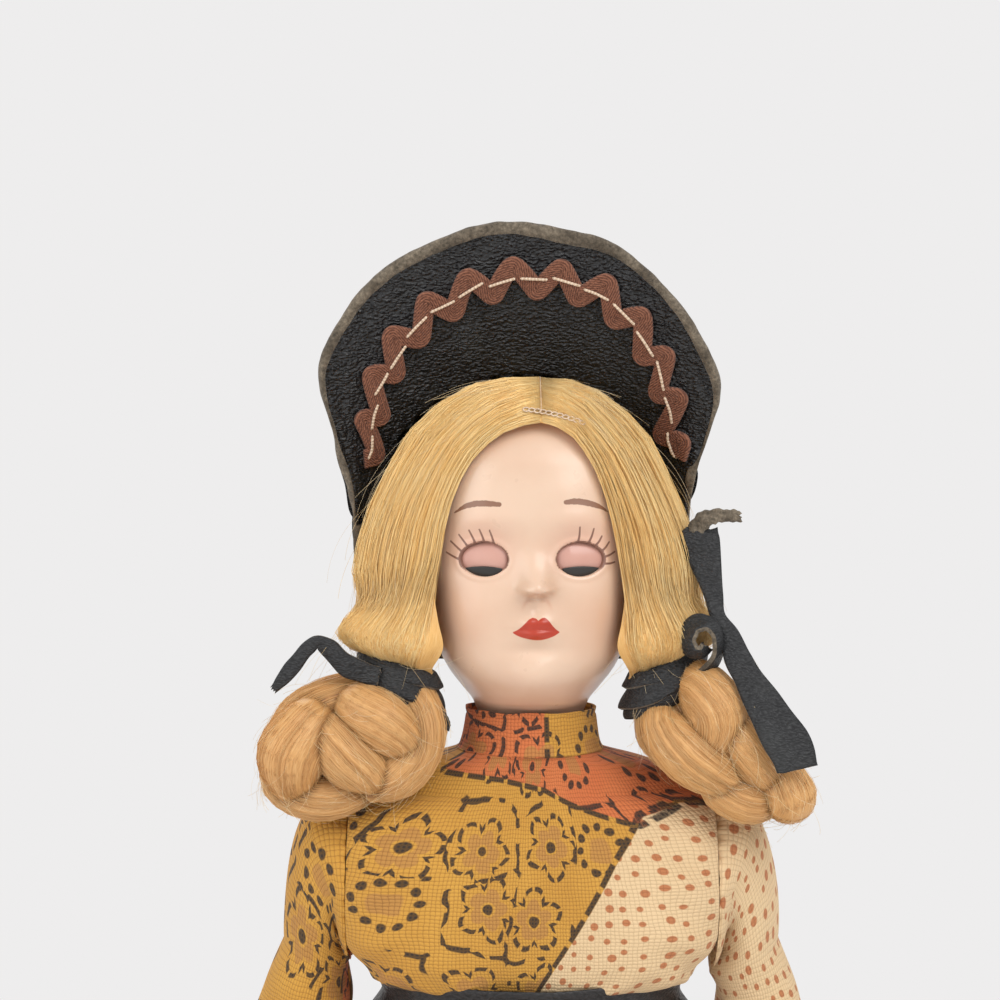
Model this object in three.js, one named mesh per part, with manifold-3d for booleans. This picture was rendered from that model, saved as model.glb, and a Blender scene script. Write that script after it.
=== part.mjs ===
// A small hard plastic doll in a folk costume: strung arms, turning head, sleep eyes, mohair wig with
// looped braids, leather bonnet and a printed cotton dress. Millimetres, +Z up, the face looks along -Y
// and the doll's own left is +X. The origin lies on the ground under the middle of the skirt.
import * as THREE from "three";
import { mergeVertices } from "three/addons/utils/BufferGeometryUtils.js";
import Module from "manifold-3d";

const wasm = await Module();
wasm.setup();

// Clearances and walls
const gap = 0.35; // between pieces that touch on the real doll
const plasticWall = 1.4;
const clothThickness = 0.7;
const leatherThickness = 1.2;

// Lengths up the doll, each from the one before it or from the neck opening
const legLength = 82; // ground to crotch
const waistRise = 25; // crotch to waist
const torsoLength = 58; // crotch to neck opening
const shoulderDrop = 18; // neck opening down to the arms' axis
const collarHeight = 6;
const chinRise = 8.6; // neck opening to the point of the chin
const eyeRise = 18.4; // chin to eyes
const crownRise = 22.3; // eyes to the crown of the plastic head
const wigThickness = 2.9;

// Torso and legs
const torsoHalfWidth = 20.5;
const torsoHalfDepth = 11.5;
const hipHalfWidth = 18.5;
const legSpacing = 9;
const thighRadius = 8.2;
const ankleRadius = 4.6;
const ankleHeight = 14;
const shoeLength = 21;
const shoeHalfWidth = 5.2;
const armHoleRadius = 3.4;

// Neck, posts and strap
const neckRadius = 6.3;
const neckSeatDepth = 2.6;
const neckLedge = 1.2;
const postRadius = 1.1;
const postHeadRadius = 2.4;
const postHeadThickness = 1.1;
const postClearance = 0.3;
const strapThickness = 1.2;
const strapWidth = 6;
const strapHalfLength = 14.5;
const strapRise = 3.4;

// Head and eyes
const headHalfWidth = 14.9;
const headFront = 13.8;
const headBack = 16.8;
const eyeSpacing = 6.45;
const eyeRadius = 3.8;
const eyeCentreY = -8.4;
const eyeHoleHalfWidth = 3.5;
const eyeHoleHalfHeight = 2.5;
const axleRadius = 0.5;
const lashThickness = 0.3;
const lashReach = 0.9;
const lashHalfWidth = 2.2;
const lidClosedDrop = 1.8; // the closed lash lies this far under the eye's centre
const eyeOpening = 38; // degrees that the eyes rock
const weightArm = 7.4;
const weightRadius = 1.6;
const weightLength = 9;

// Arms and sleeves
const armOffset = 7; // from the torso's side to the arm's middle at the shoulder
const armSplay = 14; // degrees outwards
const armLength = 50;
const upperArmRadius = 4.4;
const wristRadius = 2.7;
const sleeveLength = 38;
const sleeveRadius = 5.9;
const sleeveHemRadius = 7;
const sleeveCapRadius = 11.6;
const sleeveSkirtGap = 1.2;

// Dress
const bodiceEase = 4.4; // from the torso's side to the armhole's edge
const bodiceDepth = 16.2;
const neckHoleRadius = 10.2;
const collarTopRadius = 9.3;
const skirtWaistRadius = 19.6;
const skirtHemRadius = 45;
const skirtHem = 2.5;
const skirtFolds = 16;
const petticoatHem = 6;
const petticoatEase = 7; // inside the skirt's hem
const beltHeight = 7;
const beltThickness = 1;

// Wig, braids and ties
const wigHemRise = 5.7; // chin to the lower edge of the loose hair
const wigHalfWidth = 24.3;
const wigFront = 12.6;
const wigBack = 23.8;
const foreheadMargin = 3.6; // crown to the top of the open face
const tieRise = 2.2; // chin to the middle of the tie
const tieX = 18;
const tieY = -7.5;
const tieHalfWidth = 5.2;
const tieHalfDepth = 4.6;
const tieBandHeight = 5.6;
const stripThickness = 1;
const stripWidth = 2.6;
const ballOut = 7.3; // from the tie to the middle of the looped braid
const ballForward = 1;
const ballDrop = 9.8;
const ballHalfWidth = 12.3;
const ballHalfDepth = 9.2;
const ballHalfHeight = 10;

// Bonnet
const bonnetShift = -1.2; // the bonnet sits a little towards the doll's right
const bonnetHalfWidth = 22.6;
const bonnetDepth = 23;
const bonnetRise = 23.6;
const bonnetLift = 3; // eyes to the middle of the crown
const bonnetCentreY = 3;
const bonnetFront = 5.2;
const bonnetNapeDrop = 18;
const brimRise = 19.9; // top of the crown to the top of the brim
const brimHalfWidth = 27.4;
const trimWaves = 14;
const trimWaveHeight = 1.5;
const trimHalfWidth = 1.3;
const trimThickness = 0.7;
const trimInset = 7.8; // from the brim's edge to the middle of the rickrack

const toRadians = Math.PI / 180;

// Heights above the ground
const crotchHeight = legLength;
const waistHeight = crotchHeight + waistRise;
const torsoTop = crotchHeight + torsoLength;
const shoulderAxisHeight = torsoTop - shoulderDrop;
const collarTop = torsoTop + collarHeight;
const chinHeight = torsoTop + chinRise;
const eyeHeight = chinHeight + eyeRise;
const crownHeight = eyeHeight + crownRise;
const wigTop = crownHeight + wigThickness;
const wigHem = chinHeight + wigHemRise;
const tieHeight = chinHeight + tieRise;
const bonnetCentreHeight = eyeHeight + bonnetLift;
const bonnetNape = bonnetCentreHeight - bonnetNapeDrop;
const brimTop = bonnetCentreHeight + bonnetRise + brimRise;

// Places across the shoulders
const armX = torsoHalfWidth + armOffset;
const bodiceEdge = torsoHalfWidth + bodiceEase;
const sleeveStart = bodiceEdge + gap;
const sleeveEnd = armX + sleeveRadius - 0.6;
const petticoatHemRadius = skirtHemRadius - petticoatEase;
const ballCentre = new THREE.Vector3(tieX + ballOut, tieY - ballForward, tieHeight - ballDrop);

// Surface of the shoulders' highest reach at each distance from the neck axis: the braids stay above it
// at every turn of the head, and the dress stays under it.
const shoulderReach = [
  [0, torsoTop + 0.7],
  [neckHoleRadius + 0.4, torsoTop + 0.7],
  [bodiceEdge - 8.3, torsoTop - 0.6],
  [bodiceEdge - 0.4, shoulderAxisHeight + sleeveCapRadius + 2.8],
  [bodiceEdge + 4.1, shoulderAxisHeight + sleeveCapRadius - 0.9],
  [bodiceEdge + 6.1, shoulderAxisHeight + sleeveCapRadius - 2],
  [bodiceEdge + 35, shoulderAxisHeight + sleeveCapRadius - 2],
];

// Geometry helpers

// A solid skinned over closed rings of equally many points, with a flat fan on each end.
function loft(rings) {
  const count = rings[0].length;
  const points = rings.flat().flatMap((p) => [p.x, p.y, p.z]);
  const faces = [];
  for (let r = 0; r + 1 < rings.length; r++) {
    for (let i = 0; i < count; i++) {
      const a = r * count + i;
      const b = r * count + ((i + 1) % count);
      faces.push(a, b, b + count, a, b + count, a + count);
    }
  }
  for (const [r, flip] of [[0, true], [rings.length - 1, false]]) {
    const middle = points.length / 3;
    const centre = new THREE.Vector3();
    rings[r].forEach((p) => centre.add(p));
    centre.divideScalar(count);
    points.push(centre.x, centre.y, centre.z);
    for (let i = 0; i < count; i++) {
      const a = r * count + i;
      const b = r * count + ((i + 1) % count);
      faces.push(...(flip ? [middle, b, a] : [middle, a, b]));
    }
  }
  return surface(points, faces);
}

// A closed sleeve: rings that run out along one side of a sheet and back along the other.
function band(rings) {
  const count = rings[0].length;
  const points = rings.flat().flatMap((p) => [p.x, p.y, p.z]);
  const faces = [];
  for (let r = 0; r < rings.length; r++) {
    const next = (r + 1) % rings.length;
    for (let i = 0; i < count; i++) {
      const j = (i + 1) % count;
      const [a, b, c, d] = [r * count + i, r * count + j, next * count + j, next * count + i];
      faces.push(a, b, c, a, c, d);
    }
  }
  return surface(points, faces);
}

function surface(points, faces) {
  const geometry = new THREE.BufferGeometry();
  geometry.setAttribute("position", new THREE.Float32BufferAttribute(points, 3));
  geometry.setIndex(faces);
  return geometry;
}

// Closed mesh to a solid that can be joined and cut; an inside-out skin is turned round.
function solid(geometry) {
  const bare = geometry.index ? geometry.toNonIndexed() : geometry.clone();
  bare.deleteAttribute("normal");
  bare.deleteAttribute("uv");
  const merged = mergeVertices(bare, 1e-4);
  const triVerts = new Uint32Array(merged.index.array);
  const vertProperties = merged.attributes.position.array;
  const made = new wasm.Manifold(new wasm.Mesh({ numProp: 3, vertProperties, triVerts }));
  if (made.volume() > 0) return made;
  for (let i = 0; i < triVerts.length; i += 3) {
    [triVerts[i + 1], triVerts[i + 2]] = [triVerts[i + 2], triVerts[i + 1]];
  }
  return new wasm.Manifold(new wasm.Mesh({ numProp: 3, vertProperties, triVerts }));
}

// The largest connected piece of a cut solid, as a geometry.
function geometryOf(cutSolid) {
  const pieces = cutSolid.decompose().sort((a, b) => b.volume() - a.volume());
  const mesh = pieces[0].getMesh();
  return surface(Array.from(mesh.vertProperties), Array.from(mesh.triVerts));
}

const facingOut = (geometry) => geometryOf(solid(geometry));

// A ring at height z: superellipse with its own reach to the front, the back and the sides.
function ring(z, halfWidth, front, back, { sides = 28, power = 2, x = 0, y = 0 } = {}) {
  return Array.from({ length: sides }, (_, i) => {
    const angle = (i / sides) * 2 * Math.PI;
    const c = Math.cos(angle);
    const s = Math.sin(angle);
    const stretch = Math.pow(Math.abs(c) ** power + Math.abs(s) ** power, -1 / power);
    const depth = s < 0 ? front : back;
    return new THREE.Vector3(x + halfWidth * c * stretch, y + depth * s * stretch, z);
  });
}

function boxBetween(low, high) {
  const size = high.map((value, i) => value - low[i]);
  const middle = high.map((value, i) => (value + low[i]) / 2);
  return solid(new THREE.BoxGeometry(...size).translate(...middle));
}

function cylinderAlong(axis, radius, from, to, [x, y, z] = [0, 0, 0], sides = 16) {
  const geometry = new THREE.CylinderGeometry(radius, radius, to - from, sides);
  geometry.translate(0, (from + to) / 2, 0);
  if (axis === "x") geometry.rotateZ(-Math.PI / 2);
  if (axis === "z") geometry.rotateX(Math.PI / 2);
  return solid(geometry.translate(x, y, z));
}

function ellipsoid(centre, size, columns = 24, rows = 14) {
  const geometry = new THREE.SphereGeometry(1, columns, rows);
  geometry.rotateX(Math.PI / 2);
  geometry.scale(size.x, size.y, size.z);
  return solid(geometry.translate(centre.x, centre.y, centre.z));
}

// A size that eases between listed [place, size...] rows, by straight steps or a smooth curve.
function sizeAt(rows, place) {
  const last = rows.length - 1;
  const up = rows[last][0] > rows[0][0];
  let k = rows.findIndex((row) => (up ? row[0] >= place : row[0] <= place));
  if (k < 0) k = last;
  if (k === 0) return rows[0].slice(1);
  const share = (place - rows[k - 1][0]) / (rows[k][0] - rows[k - 1][0]);
  return rows[k].slice(1).map((value, i) => rows[k - 1][i + 1] * (1 - share) + value * share);
}

const doll = new THREE.Group();
doll.name = "costume_doll";

function addPiece(name, geometry, material) {
  const mesh = new THREE.Mesh(geometry, new THREE.MeshStandardMaterial(material));
  mesh.name = name;
  doll.add(mesh);
}

const skinPlastic = { color: 0xe6c4ab, roughness: 0.28, metalness: 0 };
const lidPlastic = { color: 0xe0a898, roughness: 0.3, metalness: 0 };
const lashPlastic = { color: 0x1a1412, roughness: 0.5, metalness: 0 };
const mohair = { color: 0xe2b06a, roughness: 0.75, metalness: 0 };
const blackLeather = { color: 0x1d2124, roughness: 0.5, metalness: 0 };
const calico = { color: 0xd39a3f, roughness: 0.9, metalness: 0 };
const orangeCalico = { color: 0xd9703f, roughness: 0.9, metalness: 0 };
const whiteCotton = { color: 0xf0ece2, roughness: 0.9, metalness: 0 };
const rustBraid = { color: 0x7f4435, roughness: 0.85, metalness: 0 };
const rubber = { color: 0x2a2623, roughness: 0.8, metalness: 0 };
const steel = { color: 0xb9bcc0, roughness: 0.35, metalness: 1 };
const lead = { color: 0x6d6f72, roughness: 0.6, metalness: 1 };

// Torso and legs: one hollow moulding that is cut down the sides into two shells
const neckSeat = torsoTop - neckSeatDepth;

const torsoRows = [
  [crotchHeight - 1, hipHalfWidth - 7.5, torsoHalfDepth - 3, torsoHalfDepth - 3],
  [crotchHeight + 2, hipHalfWidth - 2, torsoHalfDepth - 0.5, torsoHalfDepth + 0.5],
  [crotchHeight + 9, hipHalfWidth, torsoHalfDepth + 0.7, torsoHalfDepth + 1.7],
  [waistHeight - 3, hipHalfWidth - 2.3, torsoHalfDepth - 0.5, torsoHalfDepth - 0.5],
  [waistHeight + 6, torsoHalfWidth - 3.1, torsoHalfDepth, torsoHalfDepth - 0.5],
  [shoulderAxisHeight, torsoHalfWidth, torsoHalfDepth, torsoHalfDepth - 0.5],
  [shoulderAxisHeight + 7, torsoHalfWidth, torsoHalfDepth - 0.7, torsoHalfDepth - 0.7],
  [torsoTop - 6, torsoHalfWidth - 2.9, torsoHalfDepth - 2.1, torsoHalfDepth - 1.9],
  [torsoTop - 2.6, torsoHalfWidth - 8.1, torsoHalfDepth - 2.7, torsoHalfDepth - 2.5],
  [torsoTop, neckRadius + 2.1, neckRadius + 2, neckRadius + 2.1],
];

function legRings(side) {
  const x = side * legSpacing;
  const toe = shoeLength * 0.66;
  const heel = shoeLength * 0.34;
  const rows = [
    [0, shoeHalfWidth - 0.7, toe - 1, heel - 0.6],
    [1.2, shoeHalfWidth, toe, heel],
    [5, shoeHalfWidth, toe - 0.8, heel],
    [8, shoeHalfWidth - 0.3, toe - 5.5, heel - 0.4],
    [ankleHeight - 3, ankleRadius + 0.3, ankleRadius + 1.6, heel - 1.4],
    [ankleHeight + 2, ankleRadius, ankleRadius, ankleRadius + 0.6],
    [legLength * 0.39, ankleRadius + 1.6, ankleRadius + 1.2, ankleRadius + 2.8],
    [legLength * 0.51, thighRadius - 2.2, thighRadius - 2.3, thighRadius - 1.8],
    [legLength * 0.585, thighRadius - 1.8, thighRadius - 1.6, thighRadius - 2],
    [legLength * 0.8, thighRadius - 0.8, thighRadius - 0.2, thighRadius],
    [crotchHeight + 6, thighRadius, thighRadius + 1.2, thighRadius + 2],
  ];
  return rows.map(([z, ...sizes]) => ring(z, ...sizes, { sides: 12, x }));
}

function makeTorso() {
  const outside = loft(torsoRows.map(([z, ...sizes]) => ring(z, ...sizes, { power: 2.3, sides: 22 })));
  const hollowRows = torsoRows
    .filter(([z]) => z > crotchHeight && z < neckSeat - neckLedge)
    .map(([z, ...sizes]) => [z, ...sizes.map((s) => s - plasticWall)]);
  hollowRows.push([neckSeat - neckLedge, neckRadius, neckRadius, neckRadius]);
  const hollow = loft(hollowRows.map(([z, ...sizes]) => ring(z, ...sizes, { power: 2.3, sides: 12 })));
  let whole = solid(outside);
  for (const side of [-1, 1]) whole = whole.add(solid(loft(legRings(side))));
  whole = whole.subtract(solid(hollow));
  whole = whole.subtract(cylinderAlong("z", neckRadius + gap, neckSeat, torsoTop + 1, [0, 0, 0], 28));
  whole = whole.subtract(cylinderAlong("z", neckRadius - 1.6, neckSeat - 5, torsoTop + 1, [0, 0, 0], 28));
  const reach = torsoHalfWidth + 5;
  whole = whole.subtract(cylinderAlong("x", armHoleRadius, -reach, reach, [0, 0, shoulderAxisHeight]));
  return whole;
}

const farAway = 120;
const frontHalf = boxBetween([-farAway, -farAway, -1], [farAway, 0, 300]);
const backHalf = boxBetween([-farAway, 0, -1], [farAway, farAway, 300]);
const torso = makeTorso();
addPiece("torso_front_shell", geometryOf(torso.intersect(frontHalf)), skinPlastic);
addPiece("torso_back_shell", geometryOf(torso.intersect(backHalf)), skinPlastic);

// Rubber strap with a hole for each arm's post and one for the neck's post
const strapBar = shoulderAxisHeight + strapRise;

function makeStrap() {
  const outer = strapHalfLength + strapThickness;
  const foot = shoulderAxisHeight - postHeadRadius - 0.8;
  const top = strapBar + strapThickness;
  const bar = boxBetween([-outer, -strapWidth / 2, foot], [outer, strapWidth / 2, top]);
  const under = boxBetween(
    [-strapHalfLength, -strapWidth, foot - 1],
    [strapHalfLength, strapWidth, strapBar],
  );
  const hole = postRadius + postClearance;
  return bar
    .subtract(under)
    .subtract(cylinderAlong("x", hole, -outer - 1, outer + 1, [0, 0, shoulderAxisHeight]))
    .subtract(cylinderAlong("z", hole, strapBar - 1, top + 1));
}

addPiece("arm_stringing_band", geometryOf(makeStrap()), rubber);

// Head: a hollow moulding with the neck, cut over the crown into a face half and a back half
const underChin = chinHeight - collarTop;
const skullRow = (z, side, front, back) => [z, headHalfWidth * side, headFront * front, headBack * back];
const headRows = [
  [neckSeat + gap, neckRadius, neckRadius, neckRadius],
  [collarTop + underChin * 0.08, neckRadius, neckRadius, neckRadius],
  [collarTop + underChin * 0.27, neckRadius + 0.2, neckRadius + 1.9, neckRadius + 0.2],
  skullRow(collarTop + underChin * 0.54, 0.45, 0.77, 0.41),
  skullRow(chinHeight + 0.4, 0.53, 0.86, 0.45),
  skullRow(chinHeight + 3, 0.67, 0.92, 0.54),
  skullRow(chinHeight + 6, 0.805, 0.94, 0.655),
  skullRow(chinHeight + 9, 0.88, 0.965, 0.785),
  skullRow(eyeHeight - 5, 0.953, 0.985, 0.91),
  skullRow(eyeHeight - 1.5, 0.993, 1, 0.976),
  skullRow(eyeHeight + 2, 1, 1, 1),
  skullRow(eyeHeight + 6, 0.98, 1.005, 0.988),
  skullRow(crownHeight - 10, 0.913, 0.95, 0.93),
  skullRow(crownHeight - 6, 0.79, 0.82, 0.8),
  skullRow(crownHeight - 3, 0.61, 0.63, 0.607),
  skullRow(crownHeight - 0.9, 0.35, 0.35, 0.333),
  skullRow(crownHeight, 0.08, 0.087, 0.071),
];

const bump = (x, z, x0, z0, wide, high) =>
  Math.exp(-(((x - x0) / wide) ** 2) - ((z - z0) / high) ** 2);

// How far the moulded face stands out of the plain head at a place seen from the front.
function faceRelief(x, z) {
  const noseTip = 2.5 * bump(x, z, 0, eyeHeight - 3.6, 1.6, 1.5);
  const noseBridge = 0.9 * bump(x, z, 0, eyeHeight - 0.6, 1.2, 2.6);
  const nostrils = 0.7 * bump(Math.abs(x), z, 1.5, eyeHeight - 4.2, 0.9, 0.9);
  const mouth = 1.1 * bump(x, z, 0, eyeHeight - 9.2, 3, 2);
  const underLip = -0.5 * bump(x, z, 0, eyeHeight - 12.2, 3.2, 1);
  const chin = 1 * bump(x, z, 0, chinHeight + 2.6, 3.4, 2.4);
  const sockets = -0.8 * bump(Math.abs(x), z, 5.6, eyeHeight + 0.4, 3.4, 2.6);
  return noseTip + noseBridge + nostrils + mouth + underLip + chin + sockets;
}

function headRings(rows, inset, sides, withFace) {
  const places = [];
  for (let k = 0; k + 1 < rows.length; k++) {
    const tall = withFace ? Math.max(1, Math.round((rows[k + 1][0] - rows[k][0]) / 2.6)) : 1;
    for (let i = 0; i < tall; i++) places.push(rows[k][0] + ((rows[k + 1][0] - rows[k][0]) * i) / tall);
  }
  places.push(rows[rows.length - 1][0]);
  return places.map((z) => {
    const sizes = sizeAt(rows, z).map((size) => size - inset);
    const power = z > chinHeight + 2 ? 2.3 : 2;
    const points = ring(z, ...sizes, { sides, power });
    if (withFace) points.forEach((p) => (p.y -= p.y < -4 ? faceRelief(p.x, p.z) : 0));
    return points;
  });
}

const headOutside = solid(loft(headRings(headRows, 0, 28, true)));
// The head swollen by the clearance, to cut what sits on it
const headSwollen = solid(loft(headRings([
  ...headRows.slice(0, -1),
  [crownHeight + gap, 1.2, 1.2, 1.2],
], -gap, 20, false)));

function makeHead() {
  const inside = headRows
    .filter(([z]) => z > chinHeight && z < crownHeight - 1);
  inside.unshift([neckSeat + gap + neckLedge, neckRadius, neckRadius, neckRadius]);
  inside.push([crownHeight - plasticWall, 2.6, 2.6, 2.6]);
  let head = headOutside.subtract(solid(loft(headRings(inside, plasticWall, 16, false))));
  head = head.subtract(cylinderAlong("z", postRadius + 1, neckSeat - 1, neckSeat + 5));
  for (const side of [-1, 1]) {
    const centre = new THREE.Vector3(side * eyeSpacing, eyeCentreY, eyeHeight);
    const room = eyeRadius + 0.3;
    head = head.subtract(ellipsoid(centre, new THREE.Vector3(room, room, room), 14, 9));
    const hole = ring(0, eyeHoleHalfWidth, eyeHoleHalfHeight, eyeHoleHalfHeight, { sides: 16, power: 2.6 });
    const holeRings = [-25, eyeCentreY].map((y) =>
      hole.map((p) => new THREE.Vector3(centre.x + p.x, y, eyeHeight + p.y)));
    head = head.subtract(solid(loft(holeRings)));
  }
  return head;
}

const head = makeHead();
addPiece("head_front_shell", geometryOf(head.intersect(frontHalf)), skinPlastic);
addPiece("head_back_shell", geometryOf(head.intersect(backHalf)), skinPlastic);

// Headed posts on the strap
const neckPostTop = neckSeat + gap + neckLedge + gap + postHeadThickness;
const neckPost = cylinderAlong("z", postRadius, strapBar - gap, neckPostTop)
  .add(cylinderAlong("z", postHeadRadius, strapBar - gap - postHeadThickness, strapBar - gap))
  .add(cylinderAlong("z", neckRadius - plasticWall - gap, neckPostTop - postHeadThickness, neckPostTop));
addPiece("neck_post", geometryOf(neckPost), steel);

// Sleep eyes: two balls on one axle with a weight behind and below
const eyeCentre = (side) => new THREE.Vector3(side * eyeSpacing, eyeCentreY, eyeHeight);
const axleEnd = eyeSpacing + 1.6;
const axleLine = [0, eyeCentreY, eyeHeight];
const axleHole = cylinderAlong("x", axleRadius + 0.25, -axleEnd - 1, axleEnd + 1, axleLine, 10);

for (const [name, side] of [["right", -1], ["left", 1]]) {
  const ball = ellipsoid(eyeCentre(side), new THREE.Vector3(eyeRadius, eyeRadius, eyeRadius), 16, 10);
  addPiece(`${name}_eyeball`, geometryOf(ball.subtract(axleHole)), lidPlastic);

  // The lash strip is a thin crescent that hugs the ball just above its lower rim.
  const inner = Math.sqrt(eyeRadius ** 2 - (lidClosedDrop - lashThickness) ** 2) + 0.12;
  const outer = inner + lashReach;
  const halfSweep = Math.asin(lashHalfWidth / outer);
  const crescent = new THREE.Shape();
  crescent.absarc(0, 0, outer, -Math.PI / 2 - halfSweep, -Math.PI / 2 + halfSweep, false);
  crescent.absarc(0, 0, inner, -Math.PI / 2 + halfSweep, -Math.PI / 2 - halfSweep, true);
  const cut = { depth: lashThickness, bevelEnabled: false, curveSegments: 8 };
  const strip = new THREE.ExtrudeGeometry(crescent, cut);
  strip.translate(side * eyeSpacing, eyeCentreY, eyeHeight - lidClosedDrop - lashThickness / 2);
  addPiece(`${name}_lash`, facingOut(strip), lashPlastic);
}

const weightPlace = new THREE.Vector3(
  0,
  eyeCentreY + weightArm * Math.sin(eyeOpening * toRadians),
  eyeHeight - weightArm * Math.cos(eyeOpening * toRadians),
);

function makeRocker() {
  const axle = cylinderAlong("x", axleRadius, -axleEnd, axleEnd, [0, eyeCentreY, eyeHeight], 10);
  const armWidth = 1.2;
  const reach = weightArm - weightRadius - gap;
  const arm = new THREE.BoxGeometry(armWidth, armWidth, reach).translate(0, 0, -reach / 2);
  arm.rotateX(eyeOpening * toRadians).translate(0, eyeCentreY, eyeHeight);
  return axle.add(solid(arm));
}

addPiece("eye_rocker", geometryOf(makeRocker()), steel);
const weightAt = [0, weightPlace.y, weightPlace.z];
const weight = cylinderAlong("x", weightRadius, -weightLength / 2, weightLength / 2, weightAt, 12);
addPiece("eye_weight", geometryOf(weight), lead);

// Stamped bracket: two ears round the axle, between the eyes, on a plate behind the bridge of the nose
function makeBracket() {
  const earThickness = 0.7;
  const earX = 1.1;
  const plateFront = -headFront + plasticWall + 0.5;
  const plateBack = plateFront + 0.7;
  const high = 2;
  const earBack = eyeCentreY + axleRadius + 1.3;
  const outerX = earX + earThickness;
  const whole = boxBetween([-outerX, plateFront, eyeHeight - high], [outerX, earBack, eyeHeight + high]);
  const slot = boxBetween([-earX, plateBack, eyeHeight - 9], [earX, 9, eyeHeight + 9]);
  return whole.subtract(slot).subtract(axleHole);
}

addPiece("eye_bracket", geometryOf(makeBracket()), steel);

// Arms: drawn for the doll's left, mirrored for the right
const shoulder = new THREE.Vector3(armX, 0, shoulderAxisHeight);
const splay = armSplay * toRadians;
const armDirection = new THREE.Vector3(Math.sin(splay), 0, -Math.cos(splay));

// A ring round the arm's line at a distance down from the shoulder
function armRing(down, halfWidth, halfDepth, { sides = 12, forward = 0, outwards = 0 } = {}) {
  const across = new THREE.Vector3(-armDirection.z, 0, armDirection.x);
  return Array.from({ length: sides }, (_, i) => {
    const angle = (i / sides) * 2 * Math.PI;
    return shoulder.clone()
      .addScaledVector(armDirection, down)
      .addScaledVector(across, halfWidth * Math.cos(angle) + outwards)
      .add(new THREE.Vector3(0, halfDepth * Math.sin(angle) - forward, 0));
  });
}

function makeArm() {
  const rows = [
    [-upperArmRadius, 1.4, 1.4, 0],
    [-upperArmRadius + 1, 3, 3.2, 0],
    [0, upperArmRadius - 0.6, upperArmRadius, 0],
    [8, upperArmRadius - 0.7, upperArmRadius, 0],
    [20, 3.7, 3.7, 0.6],
    [26, 3.5, 3.5, 1.2],
    [34, 3, 3, 2.4],
    [39, wristRadius - 0.3, wristRadius, 3.2],
    [42, wristRadius - 0.7, 3.6, 3.8],
    [46, 1.8, 3.7, 4.6],
    [49, 1.3, 2.6, 5.4],
    [armLength, 0.6, 1.2, 5.7],
  ];
  const arm = solid(loft(rows.map(([down, w, d, forward]) => armRing(down, w, d, { forward }))));
  const thumbAt = shoulder.clone().addScaledVector(armDirection, 43).add(new THREE.Vector3(-0.4, -7, 0));
  return arm.add(ellipsoid(thumbAt, new THREE.Vector3(1.2, 1.2, 2.8), 8, 6));
}

// Post from the strap to the arm, through the hole in the shoulder; the arm is drilled for it
const postInner = strapHalfLength - gap;
const postOuter = armX;

function makeArmPost() {
  const at = [0, 0, shoulderAxisHeight];
  return cylinderAlong("x", postRadius, postInner, postOuter, at)
    .add(cylinderAlong("x", postHeadRadius, postInner - postHeadThickness, postInner, at));
}

const postDrill = cylinderAlong("x", postRadius + 0.1, 0, postOuter + 0.1, [0, 0, shoulderAxisHeight]);
const arm = makeArm().subtract(postDrill);
const armPost = makeArmPost();

// Sleeve: a gathered cap that is round about the shoulder's axis, and a tube down the arm
const capRows = [
  [sleeveStart, sleeveCapRadius],
  ...[
    [0.185, 0.922],
    [0.417, 0.76],
    [0.68, 0.57],
    [0.867, 0.362],
    [1, 0.035],
  ].map(([out, share]) => [sleeveStart + out * (sleeveEnd - sleeveStart), share * sleeveCapRadius]),
];

function capRing(x, radius, sides = 18) {
  return Array.from({ length: sides }, (_, i) => {
    const angle = (i / sides) * 2 * Math.PI;
    return new THREE.Vector3(x, radius * Math.cos(angle), shoulderAxisHeight + radius * Math.sin(angle));
  });
}

function makeSleeve() {
  const tubeRows = [
    [-2, sleeveRadius - 1.8, sleeveRadius + 1.2],
    [6, sleeveRadius - 1.2, sleeveRadius + 1],
    [14, sleeveRadius - 0.4, sleeveRadius + 0.9],
    [26, sleeveRadius + 0.3, sleeveRadius + 0.9],
    [sleeveLength - 3, sleeveHemRadius - 0.3, sleeveHemRadius],
    [sleeveLength, sleeveHemRadius, sleeveHemRadius],
  ];
  const tube = (inset, extra) => solid(loft(tubeRows.map(([down, w, d], i) => {
    const last = i === tubeRows.length - 1;
    return armRing(down + (last ? extra : 0), w - inset, d - inset, { sides: 14, forward: down * 0.03 });
  })));
  const cap = (inset) => solid(loft(capRows.map(([x, r], i) => {
    const shift = i === 0 && inset ? -1 : 0;
    return capRing(x + shift - (i ? inset : 0), Math.max(r - inset, 0.2));
  })));
  const outside = cap(0).add(tube(0, 0));
  const inside = cap(clothThickness).add(tube(clothThickness, 1));
  const capLine = [0, 0, shoulderAxisHeight];
  const bodiceRoom = cylinderAlong("x", sleeveCapRadius + gap, 0, sleeveStart, capLine, 20);
  return outside.subtract(inside).subtract(bodiceRoom);
}

const sleeve = makeSleeve();
for (const [name, side] of [["right", -1], ["left", 1]]) {
  const place = (piece) => geometryOf(side > 0 ? piece : piece.scale([-1, 1, 1]));
  addPiece(`${name}_arm`, place(arm), skinPlastic);
  addPiece(`${name}_arm_post`, place(armPost), steel);
  addPiece(`${name}_sleeve`, place(sleeve), calico);
}

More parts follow.
